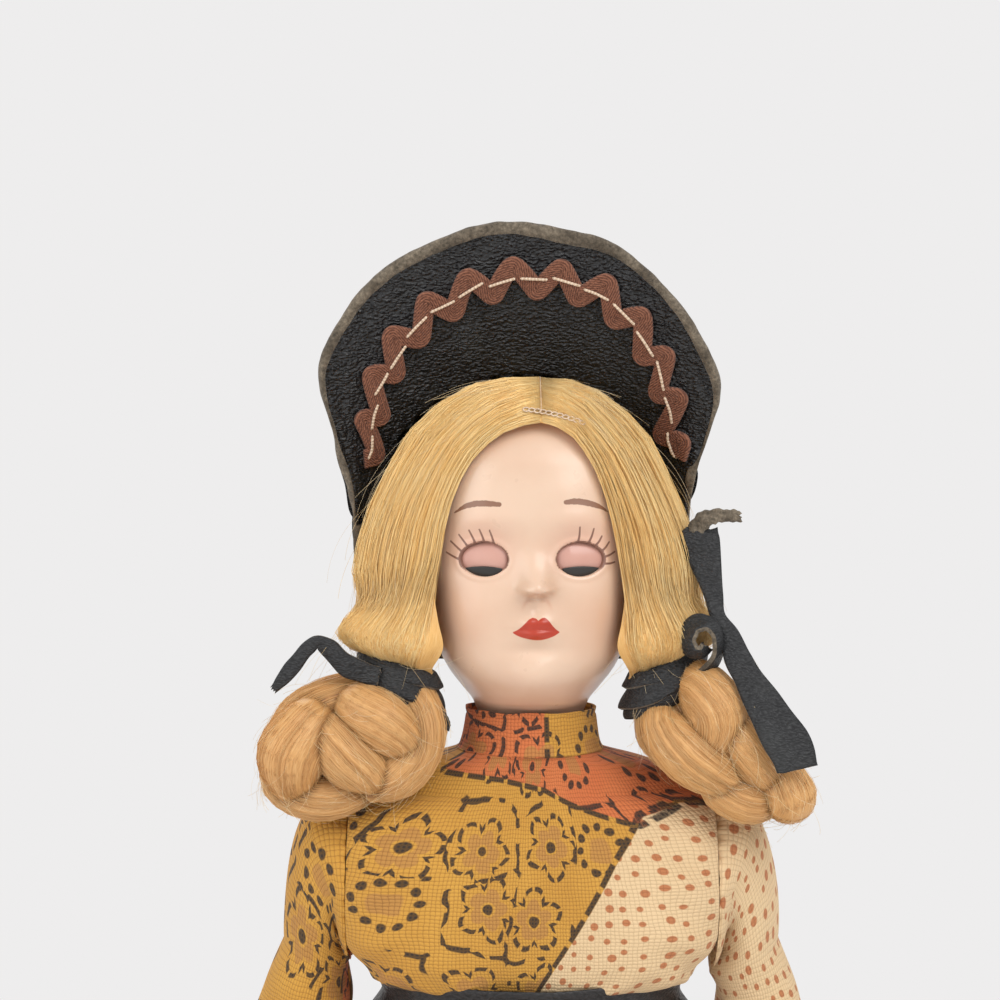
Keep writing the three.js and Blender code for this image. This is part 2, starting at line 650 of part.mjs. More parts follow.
// Bodice: a cloth tube from the waist to the neck hole, open at the armholes
const bodiceRows = [
  [waistHeight + 0.6, skirtWaistRadius - 0.2, bodiceDepth - 2.6, bodiceDepth - 3],
  [waistHeight + 3.5, skirtWaistRadius + 1.8, bodiceDepth - 1.2, bodiceDepth - 2],
  [waistHeight + 7, bodiceEdge - 0.7, bodiceDepth - 0.2, bodiceDepth - 1.5],
  [waistHeight + 10, bodiceEdge + 1.5, bodiceDepth, bodiceDepth - 1.4],
  [shoulderAxisHeight, bodiceEdge + 2.3, bodiceDepth - 0.4, bodiceDepth - 1.6],
  [shoulderAxisHeight + 6, bodiceEdge + 2.5, bodiceDepth - 1.8, bodiceDepth - 2.4],
  [torsoTop - 7.5, bodiceEdge + 1.5, bodiceDepth - 3.6, bodiceDepth - 3.8],
  [torsoTop - 5, bodiceEdge - 0.9, bodiceDepth - 5.2, bodiceDepth - 5.2],
  [torsoTop - 2.8, bodiceEdge - 4.5, neckHoleRadius + 0.1, neckHoleRadius + 0.2],
  [torsoTop - 1.3, bodiceEdge - 8.5, neckHoleRadius, neckHoleRadius + 0.1],
  [torsoTop + 0.3, neckHoleRadius, neckHoleRadius - 0.1, neckHoleRadius],
];

function clothShell(rows, thickness, options) {
  const outer = rows.map(([z, ...sizes]) => ring(z, ...sizes, options));
  const inner = rows.map(([z, ...sizes]) => ring(z, ...sizes.map((s) => s - thickness), options));
  return band([...outer, ...inner.reverse()]);
}

const bodice = solid(clothShell(bodiceRows, clothThickness, { sides: 28 }))
  .subtract(boxBetween([bodiceEdge, -50, 0], [60, 50, 250]))
  .subtract(boxBetween([-60, -50, 0], [-bodiceEdge, 50, 250]));
addPiece("dress_bodice", geometryOf(bodice), calico);

const collarFoot = torsoTop + 0.3 + gap;
const collarRows = [
  [collarFoot, neckHoleRadius, neckHoleRadius, neckHoleRadius],
  [collarFoot + 2.5, neckHoleRadius - 0.5, neckHoleRadius - 0.5, neckHoleRadius - 0.5],
  [collarTop, collarTopRadius, collarTopRadius, collarTopRadius],
];
addPiece("dress_collar", facingOut(clothShell(collarRows, clothThickness, { sides: 28 })), orangeCalico);

// Skirt with its main folds, a plain petticoat and the belt over the waist seam
// The arms rest beside it, so at the sleeves' hems it is only as wide as they leave room for.
const sleeveHemDrop = sleeveLength * Math.cos(armSplay * toRadians);
const besideSleeve = armX + sleeveLength * Math.sin(armSplay * toRadians)
  - sleeveHemRadius * Math.cos(armSplay * toRadians) - sleeveSkirtGap;
const skirtDrop = waistHeight - skirtHem;
const skirtRows = [
  [waistHeight, skirtWaistRadius],
  [waistHeight - 3.5, skirtWaistRadius + 2],
  [waistHeight - 8, skirtWaistRadius + 5],
  [shoulderAxisHeight - sleeveHemDrop + 3, besideSleeve - 1],
  [shoulderAxisHeight - sleeveHemDrop, besideSleeve],
  [waistHeight - skirtDrop * 0.316, skirtHemRadius - 12.4],
  [waistHeight - skirtDrop * 0.555, skirtHemRadius - 5.4],
  [waistHeight - skirtDrop * 0.813, skirtHemRadius - 1.6],
  [skirtHem, skirtHemRadius],
];

// The skirt is flat from front to back at the waist and round from the knees down.
const skirtFlatness = (z) => 0.72 + 0.28 * Math.min(1, Math.max(0, (waistHeight - 4 - z) / 40));

function foldedRing(z, radius, fold, inset) {
  const perFold = 4;
  const sides = skirtFolds * perFold;
  return Array.from({ length: sides }, (_, i) => {
    const angle = (i / sides) * 2 * Math.PI;
    const wave = 0.5 * Math.cos(skirtFolds * angle) - 0.5;
    const reach = radius - inset + fold * wave;
    return new THREE.Vector3(reach * Math.cos(angle), reach * skirtFlatness(z) * Math.sin(angle), z);
  });
}

function makeSkirt() {
  const rings = (inset) => skirtRows.map(([z, radius]) =>
    foldedRing(z, radius, 0.6 + (3 * (waistHeight - z)) / skirtDrop, inset));
  return band([...rings(0), ...rings(clothThickness).reverse()]);
}

addPiece("dress_skirt", facingOut(makeSkirt()), calico);

function makePetticoat() {
  const rows = [
    [waistHeight - 8, hipHalfWidth + 0.7],
    [waistHeight - skirtDrop * 0.19, hipHalfWidth + 3.9],
    [waistHeight - skirtDrop * 0.4, petticoatHemRadius - 9.5],
    [waistHeight - skirtDrop * 0.67, petticoatHemRadius - 4],
    [petticoatHem, petticoatHemRadius],
  ];
  const flatness = (z) => 0.74 + 0.26 * Math.min(1, (waistHeight - 4 - z) / 40);
  const rings = (inset) => rows.map(([z, r]) =>
    ring(z, r - inset, (r - inset) * flatness(z), (r - inset) * flatness(z), { sides: 28 }));
  return band([...rings(0), ...rings(clothThickness).reverse()]);
}

addPiece("petticoat", facingOut(makePetticoat()), whiteCotton);

function makeBelt() {
  const low = waistHeight - beltHeight / 2;
  const high = waistHeight + beltHeight / 2;
  const proud = gap + beltThickness;
  const skirtAt = (z) => {
    const [radius] = sizeAt(skirtRows, z);
    return [radius, radius * skirtFlatness(z), radius * skirtFlatness(z)];
  };
  const rows = [
    [low, ...skirtAt(low)],
    [waistHeight, ...skirtAt(waistHeight)],
    [high, ...sizeAt(bodiceRows, high)],
  ];
  const outside = rows.map(([z, ...sizes]) => [z, ...sizes.map((s) => s + proud)]);
  return clothShell(outside, beltThickness, { sides: 34 });
}

addPiece("leather_belt", facingOut(makeBelt()), blackLeather);

// Snap fasteners of the back opening
for (const [name, z] of [["upper", shoulderAxisHeight + 8], ["lower", shoulderAxisHeight - 5]]) {
  const back = sizeAt(bodiceRows, z)[2];
  const button = new THREE.CylinderGeometry(1.6, 2, 0.8, 14);
  addPiece(`back_snap_${name}`, facingOut(button.translate(0, back + gap + 0.6, z)), steel);
}

// Bonnet: a leather crown over the back of the head and a brim that stands round the face
const bonnetCentre = new THREE.Vector3(bonnetShift, bonnetCentreY, bonnetCentreHeight);

function crownDome(inset) {
  const size = new THREE.Vector3(bonnetHalfWidth - inset, bonnetDepth - inset, bonnetRise - inset);
  return ellipsoid(bonnetCentre, size, 24, 12);
}

const crown = crownDome(0)
  .subtract(crownDome(leatherThickness))
  .intersect(boxBetween([-farAway, bonnetFront, bonnetNape], [farAway, farAway, 300]));
addPiece("bonnet_crown", geometryOf(crown), blackLeather);

// The brim's edge, from the top down the doll's left: sideways, depth, height, and the turn round the
// crown's rim where each line across the brim starts
const brimEdge = [
  [0, -7, brimTop, 0],
  [brimHalfWidth * 0.507, -7, brimTop - 3.1, 18],
  [brimHalfWidth * 0.825, -6.5, brimTop - 9.9, 37],
  [brimHalfWidth, -5, brimTop - 19.5, 56],
  [brimHalfWidth - 1, -1.8, brimTop - 30, 72],
  [bonnetHalfWidth + 2, 1.6, brimTop - 38.5, 86],
  [bonnetHalfWidth + 1.3, 3, brimTop - 48, 102],
  [bonnetHalfWidth - 0.4, 3.6, brimTop - 57, 118],
];

function brimCurves() {
  const rimY = bonnetFront - gap - leatherThickness / 2;
  const rimHalfWidth = bonnetHalfWidth - leatherThickness / 2;
  const rimRise = bonnetRise - leatherThickness / 2;
  const edge = [];
  const rim = [];
  for (const side of [-1, 1]) {
    const rows = side < 0 ? [...brimEdge].reverse() : brimEdge.slice(1);
    for (const [x, y, z, turn] of rows) {
      edge.push(new THREE.Vector3(bonnetShift + side * x, y, z));
      rim.push(new THREE.Vector3(
        bonnetShift + side * rimHalfWidth * Math.sin(turn * toRadians),
        rimY,
        bonnetCentreHeight + rimRise * Math.cos(turn * toRadians),
      ));
    }
  }
  return { edge: new THREE.CatmullRomCurve3(edge), rim: new THREE.CatmullRomCurve3(rim) };
}

const brim = brimCurves();

// Place on the brim's middle sheet: along it from 0 to 1, and a distance in from its edge
function brimPlace(along, inset) {
  const edge = brim.edge.getPoint(along);
  const across = brim.rim.getPoint(along).sub(edge);
  const width = across.length();
  across.normalize();
  const normal = across.clone().cross(brim.edge.getTangent(along)).normalize();
  const share = inset / width;
  const hollow = -0.9 * 4 * share * (1 - share); // the brim cups a little towards the face
  const point = edge.addScaledVector(across, inset).addScaledVector(normal, -hollow);
  return { point, across, normal, width };
}

function brimSheet(thickness, extra = 0) {
  const stations = 26;
  const rings = Array.from({ length: stations + 1 }, (_, k) => {
    const along = k / stations;
    const { width } = brimPlace(along, 0);
    const insets = [-extra, width * 0.3, width * 0.65, width + extra];
    const side = (list, lift) => list.map((inset) => {
      const { point, normal } = brimPlace(along, inset);
      return point.addScaledVector(normal, lift);
    });
    return [...side(insets, thickness / 2), ...side([...insets].reverse(), -thickness / 2)];
  });
  return solid(loft(rings));
}

addPiece("bonnet_brim", geometryOf(brimSheet(leatherThickness)), blackLeather);

// Rickrack sewn along the brim at a steady distance from its edge, where the brim is wide enough
function makeTrim(swell = 0) {
  const start = 0.205;
  const stepsPerWave = 5;
  const steps = trimWaves * stepsPerWave;
  const lift = leatherThickness / 2 + gap + trimThickness / 2;
  const rings = Array.from({ length: steps + 1 }, (_, k) => {
    const along = start + ((1 - 2 * start) * k) / steps;
    const wave = trimWaveHeight * Math.sin((2 * Math.PI * k) / stepsPerWave);
    const { point, across, normal } = brimPlace(along, trimInset + wave);
    const corner = (over, up) => point.clone()
      .addScaledVector(across, over * (trimHalfWidth + swell))
      .addScaledVector(normal, lift + up * (trimThickness / 2 + swell));
    return [corner(-1, -1), corner(1, -1), corner(1, 1), corner(-1, 1)];
  });
  return solid(loft(rings));
}

addPiece("rickrack_trim", geometryOf(makeTrim()), rustBraid);

// Wig: one mass of mohair from the parting to the nape, open over the face
const hairRow = (z, side, front, back) => [z, wigHalfWidth * side, wigFront * front, wigBack * back];
const wigRows = [
  hairRow(wigHem, 0.93, 0.84, 0.71),
  hairRow(wigHem + 5.5, 1, 0.92, 0.91),
  hairRow(wigHem + 11.5, 0.996, 0.95, 0.99),
  hairRow(wigHem + 18, 0.94, 0.985, 1),
  hairRow(wigHem + 24, 0.89, 1, 0.95),
  hairRow(wigTop - 9, 0.8, 0.985, 0.825),
  hairRow(wigTop - 5, 0.667, 0.905, 0.665),
  hairRow(wigTop - 2.2, 0.47, 0.68, 0.48),
  hairRow(wigTop - 0.6, 0.255, 0.365, 0.277),
  hairRow(wigTop, 0.05, 0.095, 0.05),
];

const faceWindow = [
  [wigHem - 8, headHalfWidth * 0.685],
  [eyeHeight - 12, headHalfWidth * 0.82],
  [eyeHeight - 5.4, headHalfWidth * 0.866],
  [eyeHeight + 1, headHalfWidth * 0.84],
  [eyeHeight + 8, headHalfWidth * 0.745],
  [crownHeight - foreheadMargin - 5.7, headHalfWidth * 0.59],
  [crownHeight - foreheadMargin - 2, headHalfWidth * 0.35],
  [crownHeight - foreheadMargin, headHalfWidth * 0.067],
];

function makeWig() {
  const mass = solid(loft(wigRows.map(([z, ...sizes]) => ring(z, ...sizes, { sides: 26, power: 2.3 }))));
  const outline = [
    ...faceWindow.map(([z, x]) => [x, z]),
    ...[...faceWindow].reverse().map(([z, x]) => [-x, z]),
  ];
  const windowRings = [-40, -3].map((y) => outline.map(([x, z]) => new THREE.Vector3(x, y, z)));
  const crownRoom = crownDome(leatherThickness + gap)
    .add(boxBetween([-farAway, -farAway, 0], [farAway, bonnetFront - gap, 300]));
  return mass
    .subtract(headSwollen)
    .subtract(solid(loft(windowRings)))
    .intersect(crownRoom)
    .subtract(brimSheet(leatherThickness + 2 * gap, gap))
    .subtract(makeTrim(gap));
}

addPiece("wig_hair", geometryOf(makeWig()), mohair);

// Pigtails, leather ties and looped braids: drawn for the doll's left, mirrored for the right
const reachProfile = [
  new THREE.Vector2(0, waistHeight),
  new THREE.Vector2(shoulderReach[shoulderReach.length - 1][0], waistHeight),
  ...[...shoulderReach].reverse().map(([radius, z]) => new THREE.Vector2(radius, z)),
];
const dressRoom = solid(new THREE.LatheGeometry(reachProfile, 40).rotateX(Math.PI / 2));

function pigtailRings(swell) {
  const rows = [
    [wigHem - gap + swell, 5.9, 5],
    [tieHeight + tieBandHeight / 2, tieHalfWidth + 0.2, tieHalfDepth + 0.2],
    [tieHeight, tieHalfWidth - 0.4, tieHalfDepth - 0.4],
    [tieHeight - tieBandHeight / 2, tieHalfWidth, tieHalfDepth],
    [tieHeight - tieBandHeight / 2 - 1.2 - swell, tieHalfWidth - 0.6, tieHalfDepth - 0.6],
  ];
  return rows.map(([z, w, d]) => ring(z, w + swell, d + swell, d + swell, { sides: 16, x: tieX, y: tieY }));
}

function tieBand(swell) {
  const outer = stripThickness + gap + swell;
  const rows = [-1, 0, 1].map((k) => [
    tieHeight + k * (tieBandHeight / 2 + swell),
    tieHalfWidth + outer + (k ? 0.2 : -0.2),
    tieHalfDepth + outer + (k ? 0.2 : -0.2),
  ]);
  const at = { sides: 18, x: tieX, y: tieY };
  const skin = (inset) => rows.map(([z, w, d]) => ring(z, w - inset, d - inset, d - inset, at));
  if (swell) return solid(loft(skin(0)));
  return solid(band([...skin(0), ...skin(stripThickness).reverse()]));
}

// Strip of leather along a route of [sideways, depth, height, width] rows, its width lying along X
function strip(route, thickness) {
  const path = new THREE.CatmullRomCurve3(route.map(([x, y, z]) => new THREE.Vector3(x, y, z)));
  const stations = (route.length - 1) * 3;
  const rings = Array.from({ length: stations + 1 }, (_, k) => {
    const share = k / stations;
    const point = path.getPoint(share);
    const along = path.getTangent(share);
    const face = new THREE.Vector3(0, -1, 0).addScaledVector(along, along.y).normalize();
    const across = along.clone().cross(face).normalize();
    const rows = route.map((row, i) => [i / (route.length - 1), row[3]]);
    const halfWidth = sizeAt(rows, share)[0] / 2;
    const corner = (over, up) => point.clone()
      .addScaledVector(across, over * halfWidth)
      .addScaledVector(face, (up * thickness) / 2);
    return [corner(-1, -1), corner(1, -1), corner(1, 1), corner(-1, 1)];
  });
  return solid(loft(rings));
}

const ballFront = ballCentre.y - ballHalfDepth;
const strapRoute = [
  [wigHalfWidth + 0.9, tieY - 0.5, tieHeight + 21.4, 4.6],
  [wigHalfWidth + 0.1, tieY - 2.9, tieHeight + 15.2, 4.6],
  [wigHalfWidth + 1.1, tieY - 5.5, tieHeight + 8.8, 3.4],
  [ballCentre.x + 1.9, tieY - 6.7, tieHeight + 3.8, 3.6],
  [ballCentre.x + 4.5, ballFront + 1.5, ballCentre.z + 8.6, 4],
  [ballCentre.x + 7.3, ballFront - 0.5, ballCentre.z + 3.4, 4.5],
  [ballCentre.x + 9.7, ballFront - 0.7, ballCentre.z - 1.8, 4.8],
];
const tieFront = tieY - tieHalfDepth - gap - stripThickness;
const tailRoute = [
  [tieX + 4.4, tieFront - 0.6, tieHeight + 2.2, 2.4],
  [tieX + 7.2, tieFront, tieHeight + 4.4, 2.3],
  [tieX + 10.6, tieFront, tieHeight + 5.2, 2.2],
  [tieX + 13.6, tieFront, tieHeight + 3, 2.5],
  [tieX + 16.4, tieFront, tieHeight - 1.2, 2.6],
];

function braidBall() {
  const geometry = new THREE.SphereGeometry(1, 20, 12);
  const ballSize = new THREE.Vector3(ballHalfWidth, ballHalfDepth, ballHalfHeight);
  geometry.rotateX(Math.PI / 2);
  const place = geometry.getAttribute("position");
  for (let i = 0; i < place.count; i++) {
    const p = new THREE.Vector3().fromBufferAttribute(place, i);
    const turn = Math.atan2(p.z, p.x);
    const rim = Math.hypot(p.x, p.z);
    const lobes = 1 + 0.07 * rim * Math.cos(5 * turn + 2.2 * p.y);
    p.multiplyScalar(lobes).multiply(ballSize).add(ballCentre);
    place.setXYZ(i, p.x, p.y, p.z);
  }
  return solid(geometry);
}

const pigtail = solid(loft(pigtailRings(0)));
const tie = tieBand(0);
const braid = braidBall()
  .subtract(dressRoom)
  .subtract(solid(loft(pigtailRings(gap))))
  .subtract(tieBand(gap));

for (const [name, side] of [["right", -1], ["left", 1]]) {
  const place = (piece) => geometryOf(side > 0 ? piece : piece.scale([-1, 1, 1]));
  addPiece(`${name}_pigtail`, place(pigtail), mohair);
  addPiece(`${name}_braid_loop`, place(braid), mohair);
  addPiece(`${name}_braid_tie`, place(tie), blackLeather);
}

addPiece("left_tie_strap", geometryOf(strip(strapRoute, stripThickness)), blackLeather);
addPiece("right_tie_tail", geometryOf(strip(tailRoute, stripThickness).scale([-1, 1, 1])), blackLeather);

// Curl of the left strip, seen end on above the tie
function makeCurl() {
  const outer = 2.3;
  const bottom = tieHeight + tieBandHeight / 2 + gap;
  const curlRing = (radius, y) => Array.from({ length: 16 }, (_, i) => {
    const angle = (i / 16) * 2 * Math.PI;
    const across = tieX + 4.2 + radius * Math.cos(angle);
    return new THREE.Vector3(across, y, bottom + outer + radius * Math.sin(angle));
  });
  const [front, back] = [tieY - 4.6, tieY - 4.6 + stripWidth];
  const inner = outer - stripThickness;
  const ends = [[outer, front], [outer, back], [inner, back], [inner, front]];
  return solid(band(ends.map(([radius, y]) => curlRing(radius, y))));
}

addPiece("left_tie_curl", geometryOf(makeCurl()), blackLeather);

export default doll;
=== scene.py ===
# %% [markdown]
# # A plastic doll in folk costume
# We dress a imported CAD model. The model is the frame: it says where each piece is and how it moves. Every
# piece below is made round it in the same place. All shapes are worked out in millimetres, because a doll
# is measured in them, and one function turns them to Blender's metres when a mesh is made.

# %% Load the frame
import math
import bmesh
import bpy
import numpy as np
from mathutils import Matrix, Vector


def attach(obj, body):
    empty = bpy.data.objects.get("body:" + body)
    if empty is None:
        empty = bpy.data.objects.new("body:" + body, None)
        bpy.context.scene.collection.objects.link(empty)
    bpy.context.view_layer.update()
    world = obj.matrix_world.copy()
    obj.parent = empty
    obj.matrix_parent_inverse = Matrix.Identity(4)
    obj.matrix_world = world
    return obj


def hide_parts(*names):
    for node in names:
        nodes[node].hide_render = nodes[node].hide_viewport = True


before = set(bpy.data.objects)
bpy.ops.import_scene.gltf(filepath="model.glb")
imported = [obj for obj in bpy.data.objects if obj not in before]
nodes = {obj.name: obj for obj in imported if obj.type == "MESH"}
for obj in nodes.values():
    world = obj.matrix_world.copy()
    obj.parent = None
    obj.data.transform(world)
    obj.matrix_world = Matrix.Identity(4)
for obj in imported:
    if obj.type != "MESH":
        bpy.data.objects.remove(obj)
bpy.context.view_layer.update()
MM = 0.001
rng = np.random.default_rng(7)

# %% [markdown]
# ## Helpers for shapes
# Most pieces are a grid of points: rings round a limb, or strips along a sheet. A grid is quick to make with
# numpy and gives clean four-sided faces. `smooth` draws a curve through a few measured heights and never
# overshoots them, which keeps a lofted head free of dents. `curve` goes through points in space.

# %% Curves through measured values
def smooth(knots, values, at):
    """Values at `at` on a curve through the knots that keeps between neighbouring values."""
    k, v = np.asarray(knots, float), np.asarray(values, float)
    step = np.diff(k)
    slope = np.diff(v) / step
    tangent = np.zeros_like(v)
    same = slope[1:] * slope[:-1] > 0
    tangent[1:-1][same] = 2 / (1 / slope[1:][same] + 1 / slope[:-1][same])
    tangent[0], tangent[-1] = slope[0], slope[-1]
    at = np.clip(at, k[0], k[-1])
    i = np.clip(np.searchsorted(k, at, side="right") - 1, 0, len(step) - 1)
    t, h = (at - k[i]) / step[i], step[i]
    return ((2 * t**3 - 3 * t**2 + 1) * v[i] + (t**3 - 2 * t**2 + t) * h * tangent[i]
            + (3 * t**2 - 2 * t**3) * v[i + 1] + (t**3 - t**2) * h * tangent[i + 1])


def curve(points, count, closed=False):
    """A Catmull-Rom curve through points (any number of columns), evenly sampled by parameter."""
    p = np.asarray(points, float)
    n = len(p)
    t = np.linspace(0, n if closed else n - 1, count, endpoint=not closed)
    i = np.minimum(t.astype(int), n - 1 if closed else n - 2)
    f = (t - i)[:, None]
    if closed:
        a, b, c, d = (p[(i + k) % n] for k in (-1, 0, 1, 2))
    else:
        ends = np.vstack([2 * p[0] - p[1], p, 2 * p[-1] - p[-2]])
        a, b, c, d = (ends[i + k] for k in range(4))
    return 0.5 * (2 * b + (c - a) * f + (2 * a - 5 * b + 4 * c - d) * f**2
                  + (3 * b - a - 3 * c + d) * f**3)


def unit(v):
    return v / np.maximum(np.linalg.norm(v, axis=-1, keepdims=True), 1e-9)


def step_up(low, high, x):
    """0 below low, 1 above high, with soft ends."""
    t = np.clip((x - low) / (high - low), 0, 1)
    return t * t * (3 - 2 * t)


def hump(x, middle, width):
    """A soft hump that is 1 at middle and fades over width."""
    return np.exp(-((x - middle) / width) ** 2)


def ripple(*args, seed=0, count=5):
    """Smooth seeded unevenness between about -1 and 1 from a few waves in each of the given fields."""
    draw = np.random.default_rng(seed)
    total = 0
    for _ in range(count):
        phase = draw.uniform(0, 2 * math.pi)
        total = total + np.sin(sum(a * draw.uniform(0.6, 1.9) * draw.choice((-1, 1)) for a in args) + phase)
    return total / count**0.5 / 1.2


# %% Grids to meshes
def grid_faces(rows, columns, wrap=False, start=0):
    """Four-sided faces of a grid of points, closed round where wrap is true."""
    r, c = np.arange(rows - 1), np.arange(columns if wrap else columns - 1)
    r, c = (m.ravel() for m in np.meshgrid(r, c, indexing="ij"))
    d = (c + 1) % columns
    above, below = start + r * columns, start + (r + 1) * columns
    return np.stack([above + c, above + d, below + d, below + c], 1)


def sheet_grid(front, thickness, wrap=False):
    """A grid of points (rows, columns, 3) and the same grid a thickness behind it, closed all round."""
    along = np.gradient(front, axis=0)
    if wrap:
        across = np.roll(front, -1, 1) - np.roll(front, 1, 1)
    else:
        across = np.gradient(front, axis=1)
    normal = unit(np.cross(across, along))
    rows, columns = front.shape[:2]
    behind = front - normal * np.broadcast_to(thickness, (rows, columns))[..., None]
    n = rows * columns
    faces = [grid_faces(rows, columns, wrap), grid_faces(rows, columns, wrap, n)[:, ::-1]]

    def edge(a):
        b = a + n
        return np.stack([a[:-1], b[:-1], b[1:], a[1:]], 1)

    ring = np.arange(columns)
    ring = np.append(ring, 0) if wrap else ring
    faces += [edge(ring), edge(ring + (rows - 1) * columns)[:, ::-1]]
    if not wrap:
        side = np.arange(rows) * columns
        faces += [edge(side)[:, ::-1], edge(side + columns - 1)]
    return np.vstack([front.reshape(-1, 3), behind.reshape(-1, 3)]), np.vstack(faces)


def layered(surface, thickness, inner, fields=None, wrap=False):
    """Two layers of a sheet whose second layer is the one with the lower `inner` value, such as the distance
    from the piece's middle. Gives the surface, points, faces and the fields, each laid on both layers."""
    n, fields = surface.shape[0] * surface.shape[1], fields or {}
    points, faces = sheet_grid(surface, thickness, wrap)
    if inner(points[n:]).mean() > inner(points[:n]).mean():
        surface, fields = surface[:, ::-1], {key: value[:, ::-1] for key, value in fields.items()}
        points, faces = sheet_grid(surface, thickness, wrap)
    both = {key: np.tile(value.reshape(n, -1), (2, 1)) for key, value in fields.items()}
    return surface, points, faces, both


def as_rows(*parts):
    """Numbers or grids of like shape as rows of three, such as points or a field's vectors."""
    return np.stack(np.broadcast_arrays(*parts), -1).reshape(-1, 3)


def run_along(line):
    """The distance along a line at each of its points."""
    return np.concatenate([[0], np.cumsum(np.linalg.norm(np.diff(line, axis=0), axis=1))])


def from_axis(points):
    """How far points are from the doll's upright middle line."""
    return np.linalg.norm(points[..., :2], axis=-1)


def capped(rows, columns, start=0):
    """Faces of a tube of rings with a face over each end."""
    last = start + (rows - 1) * columns
    return grid_faces(rows, columns, True, start).tolist() + [
        list(range(start, start + columns)), list(range(last, last + columns))[::-1]]


def cut_out(faces, cut):
    """Opens a two-layer sheet where the outer layer's points are marked, and closes the rim."""
    n = len(cut)
    gone = cut[faces % n].all(1)
    front = faces[gone & (faces.max(1) < n)].tolist()
    edges = {(a, b) for f in front for a, b in zip(f, f[1:] + f[:1])}
    rim = [(a, b, b + n, a + n) for a, b in sorted(edges) if (b, a) not in edges]
    return np.vstack([faces[~gone], rim])


def link(thing):
    """Puts an object in the scene."""
    bpy.context.scene.collection.objects.link(thing)
    return thing


def make_mesh(name, points, faces, fields=None):
    """One mesh object from points in mm. fields are named values at each point that materials read."""
    mesh = bpy.data.meshes.new(name)
    mesh.from_pydata(np.asarray(points) * MM, [], faces.tolist() if isinstance(faces, np.ndarray) else faces)
    for key, value in (fields or {}).items():
        value = np.asarray(value, np.float32)
        kind = "FLOAT" if value.ndim == 1 else "FLOAT_VECTOR"
        entry = mesh.attributes.new(key, kind, "POINT")
        entry.data.foreach_set("value" if value.ndim == 1 else "vector", value.ravel())
    mesh.validate()
    mesh.shade_smooth()
    return link(bpy.data.objects.new(name, mesh))


def outward(piece):
    """Turns a closed mesh's faces outwards."""
    work = bmesh.new()
    work.from_mesh(piece.data)
    bmesh.ops.recalc_face_normals(work, faces=work.faces)
    work.to_mesh(piece.data)
    work.free()
    return piece


def closed_mesh(name, points, faces, fields=None):
    """A mesh that closes on itself, with its faces outwards."""
    return outward(make_mesh(name, points, faces, fields))


def set_up(piece, body, material, stands_for=()):
    """Gives a finished piece its material, the body that it rides on and what it stands for."""
    for m in material if isinstance(material, (list, tuple)) else [material]:
        piece.data.materials.append(m)
    if stands_for:
        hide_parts(*stands_for)
    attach(piece, body)
    print(f"{piece.name}: {len(piece.data.polygons)} faces on {body}")
    return piece


# %% Tubes: threads, hairs and rolled edges
def tubes(name, paths, radii, sides=3, fields=None):
    """Many thin tubes as one closed mesh. paths is (tubes, points, 3); radii broadcasts to (tubes, points).
    fields holds one value per tube or per point."""
    paths = np.asarray(paths, float)
    count, length = paths.shape[:2]
    radii = np.broadcast_to(np.asarray(radii, float), (count, length))
    along = unit(np.gradient(paths, axis=1))
    first = np.empty_like(along)
    aside = np.where(np.abs(along[:, 0, 2:3]) < 0.8, [0, 0, 1.0], [0, 1.0, 0])
    first[:, 0] = unit(np.cross(along[:, 0], aside))
    for i in range(1, length):  # carried along the tube, so that its section never flips
        kept = first[:, i - 1]
        first[:, i] = unit(kept - along[:, i] * (kept * along[:, i]).sum(1, keepdims=True))
    second = np.cross(along, first)
    angle = np.arange(sides) / sides * 2 * math.pi
    ring = first[:, :, None] * np.cos(angle)[:, None] + second[:, :, None] * np.sin(angle)[:, None]
    points = paths[:, :, None] + ring * radii[..., None, None]
    one = grid_faces(length, sides, wrap=True)
    faces = (one[None] + (np.arange(count) * length * sides)[:, None, None]).reshape(-1, 4).tolist()
    for k in range(count):
        low = k * length * sides
        high = low + (length - 1) * sides
        faces.append(list(range(low + sides - 1, low - 1, -1)))
        faces.append(list(range(high, high + sides)))
    spread = {}
    for key, value in (fields or {}).items():
        value = np.broadcast_to(np.asarray(value, float).reshape(count, -1), (count, length))
        spread[key] = np.repeat(value.reshape(-1), sides)
    return make_mesh(name, points.reshape(-1, 3), faces, spread)

# %% [markdown]
# ## Camera, light and floor
# The photograph was taken level with the doll's forehead from about a quarter of a metre, so the camera is
# close and looks straight along +Y. A close camera makes the face larger than the shoulders behind it, and
# that has to match before any piece can.
#
# The light is a plain studio: a big soft lamp above and to the right, a weaker one from the left, one
# behind and an even world. The floor is pale, catches the shadow and fades out so that no horizon shows.

# %% Camera
camera_place = (-4.3, -240.0, 174.9)
face_plane, pixels_per_mm, half_frame = -15.0, 7.6, 500
camera_data = bpy.data.cameras.new("camera")
camera_data.sensor_width = 36.0
camera_data.lens = camera_data.sensor_width / 2 * (face_plane - camera_place[1]) * pixels_per_mm / half_frame
camera_data.clip_start = 0.005
camera = link(bpy.data.objects.new("camera", camera_data))
camera.location = [v * MM for v in camera_place]
camera.rotation_euler = (math.pi / 2, 0, 0)
bpy.context.scene.camera = camera
print("lens, mm:", round(camera_data.lens, 1))


# %% Colours and nodes
def linear(code, alpha=1.0):
    """An sRGB hex colour as the linear values that Blender mixes."""
    parts = [int(code[i:i + 2], 16) / 255 for i in (1, 3, 5)]
    return tuple(c / 12.92 if c <= 0.04045 else ((c + 0.055) / 1.055) ** 2.4 for c in parts) + (alpha,)


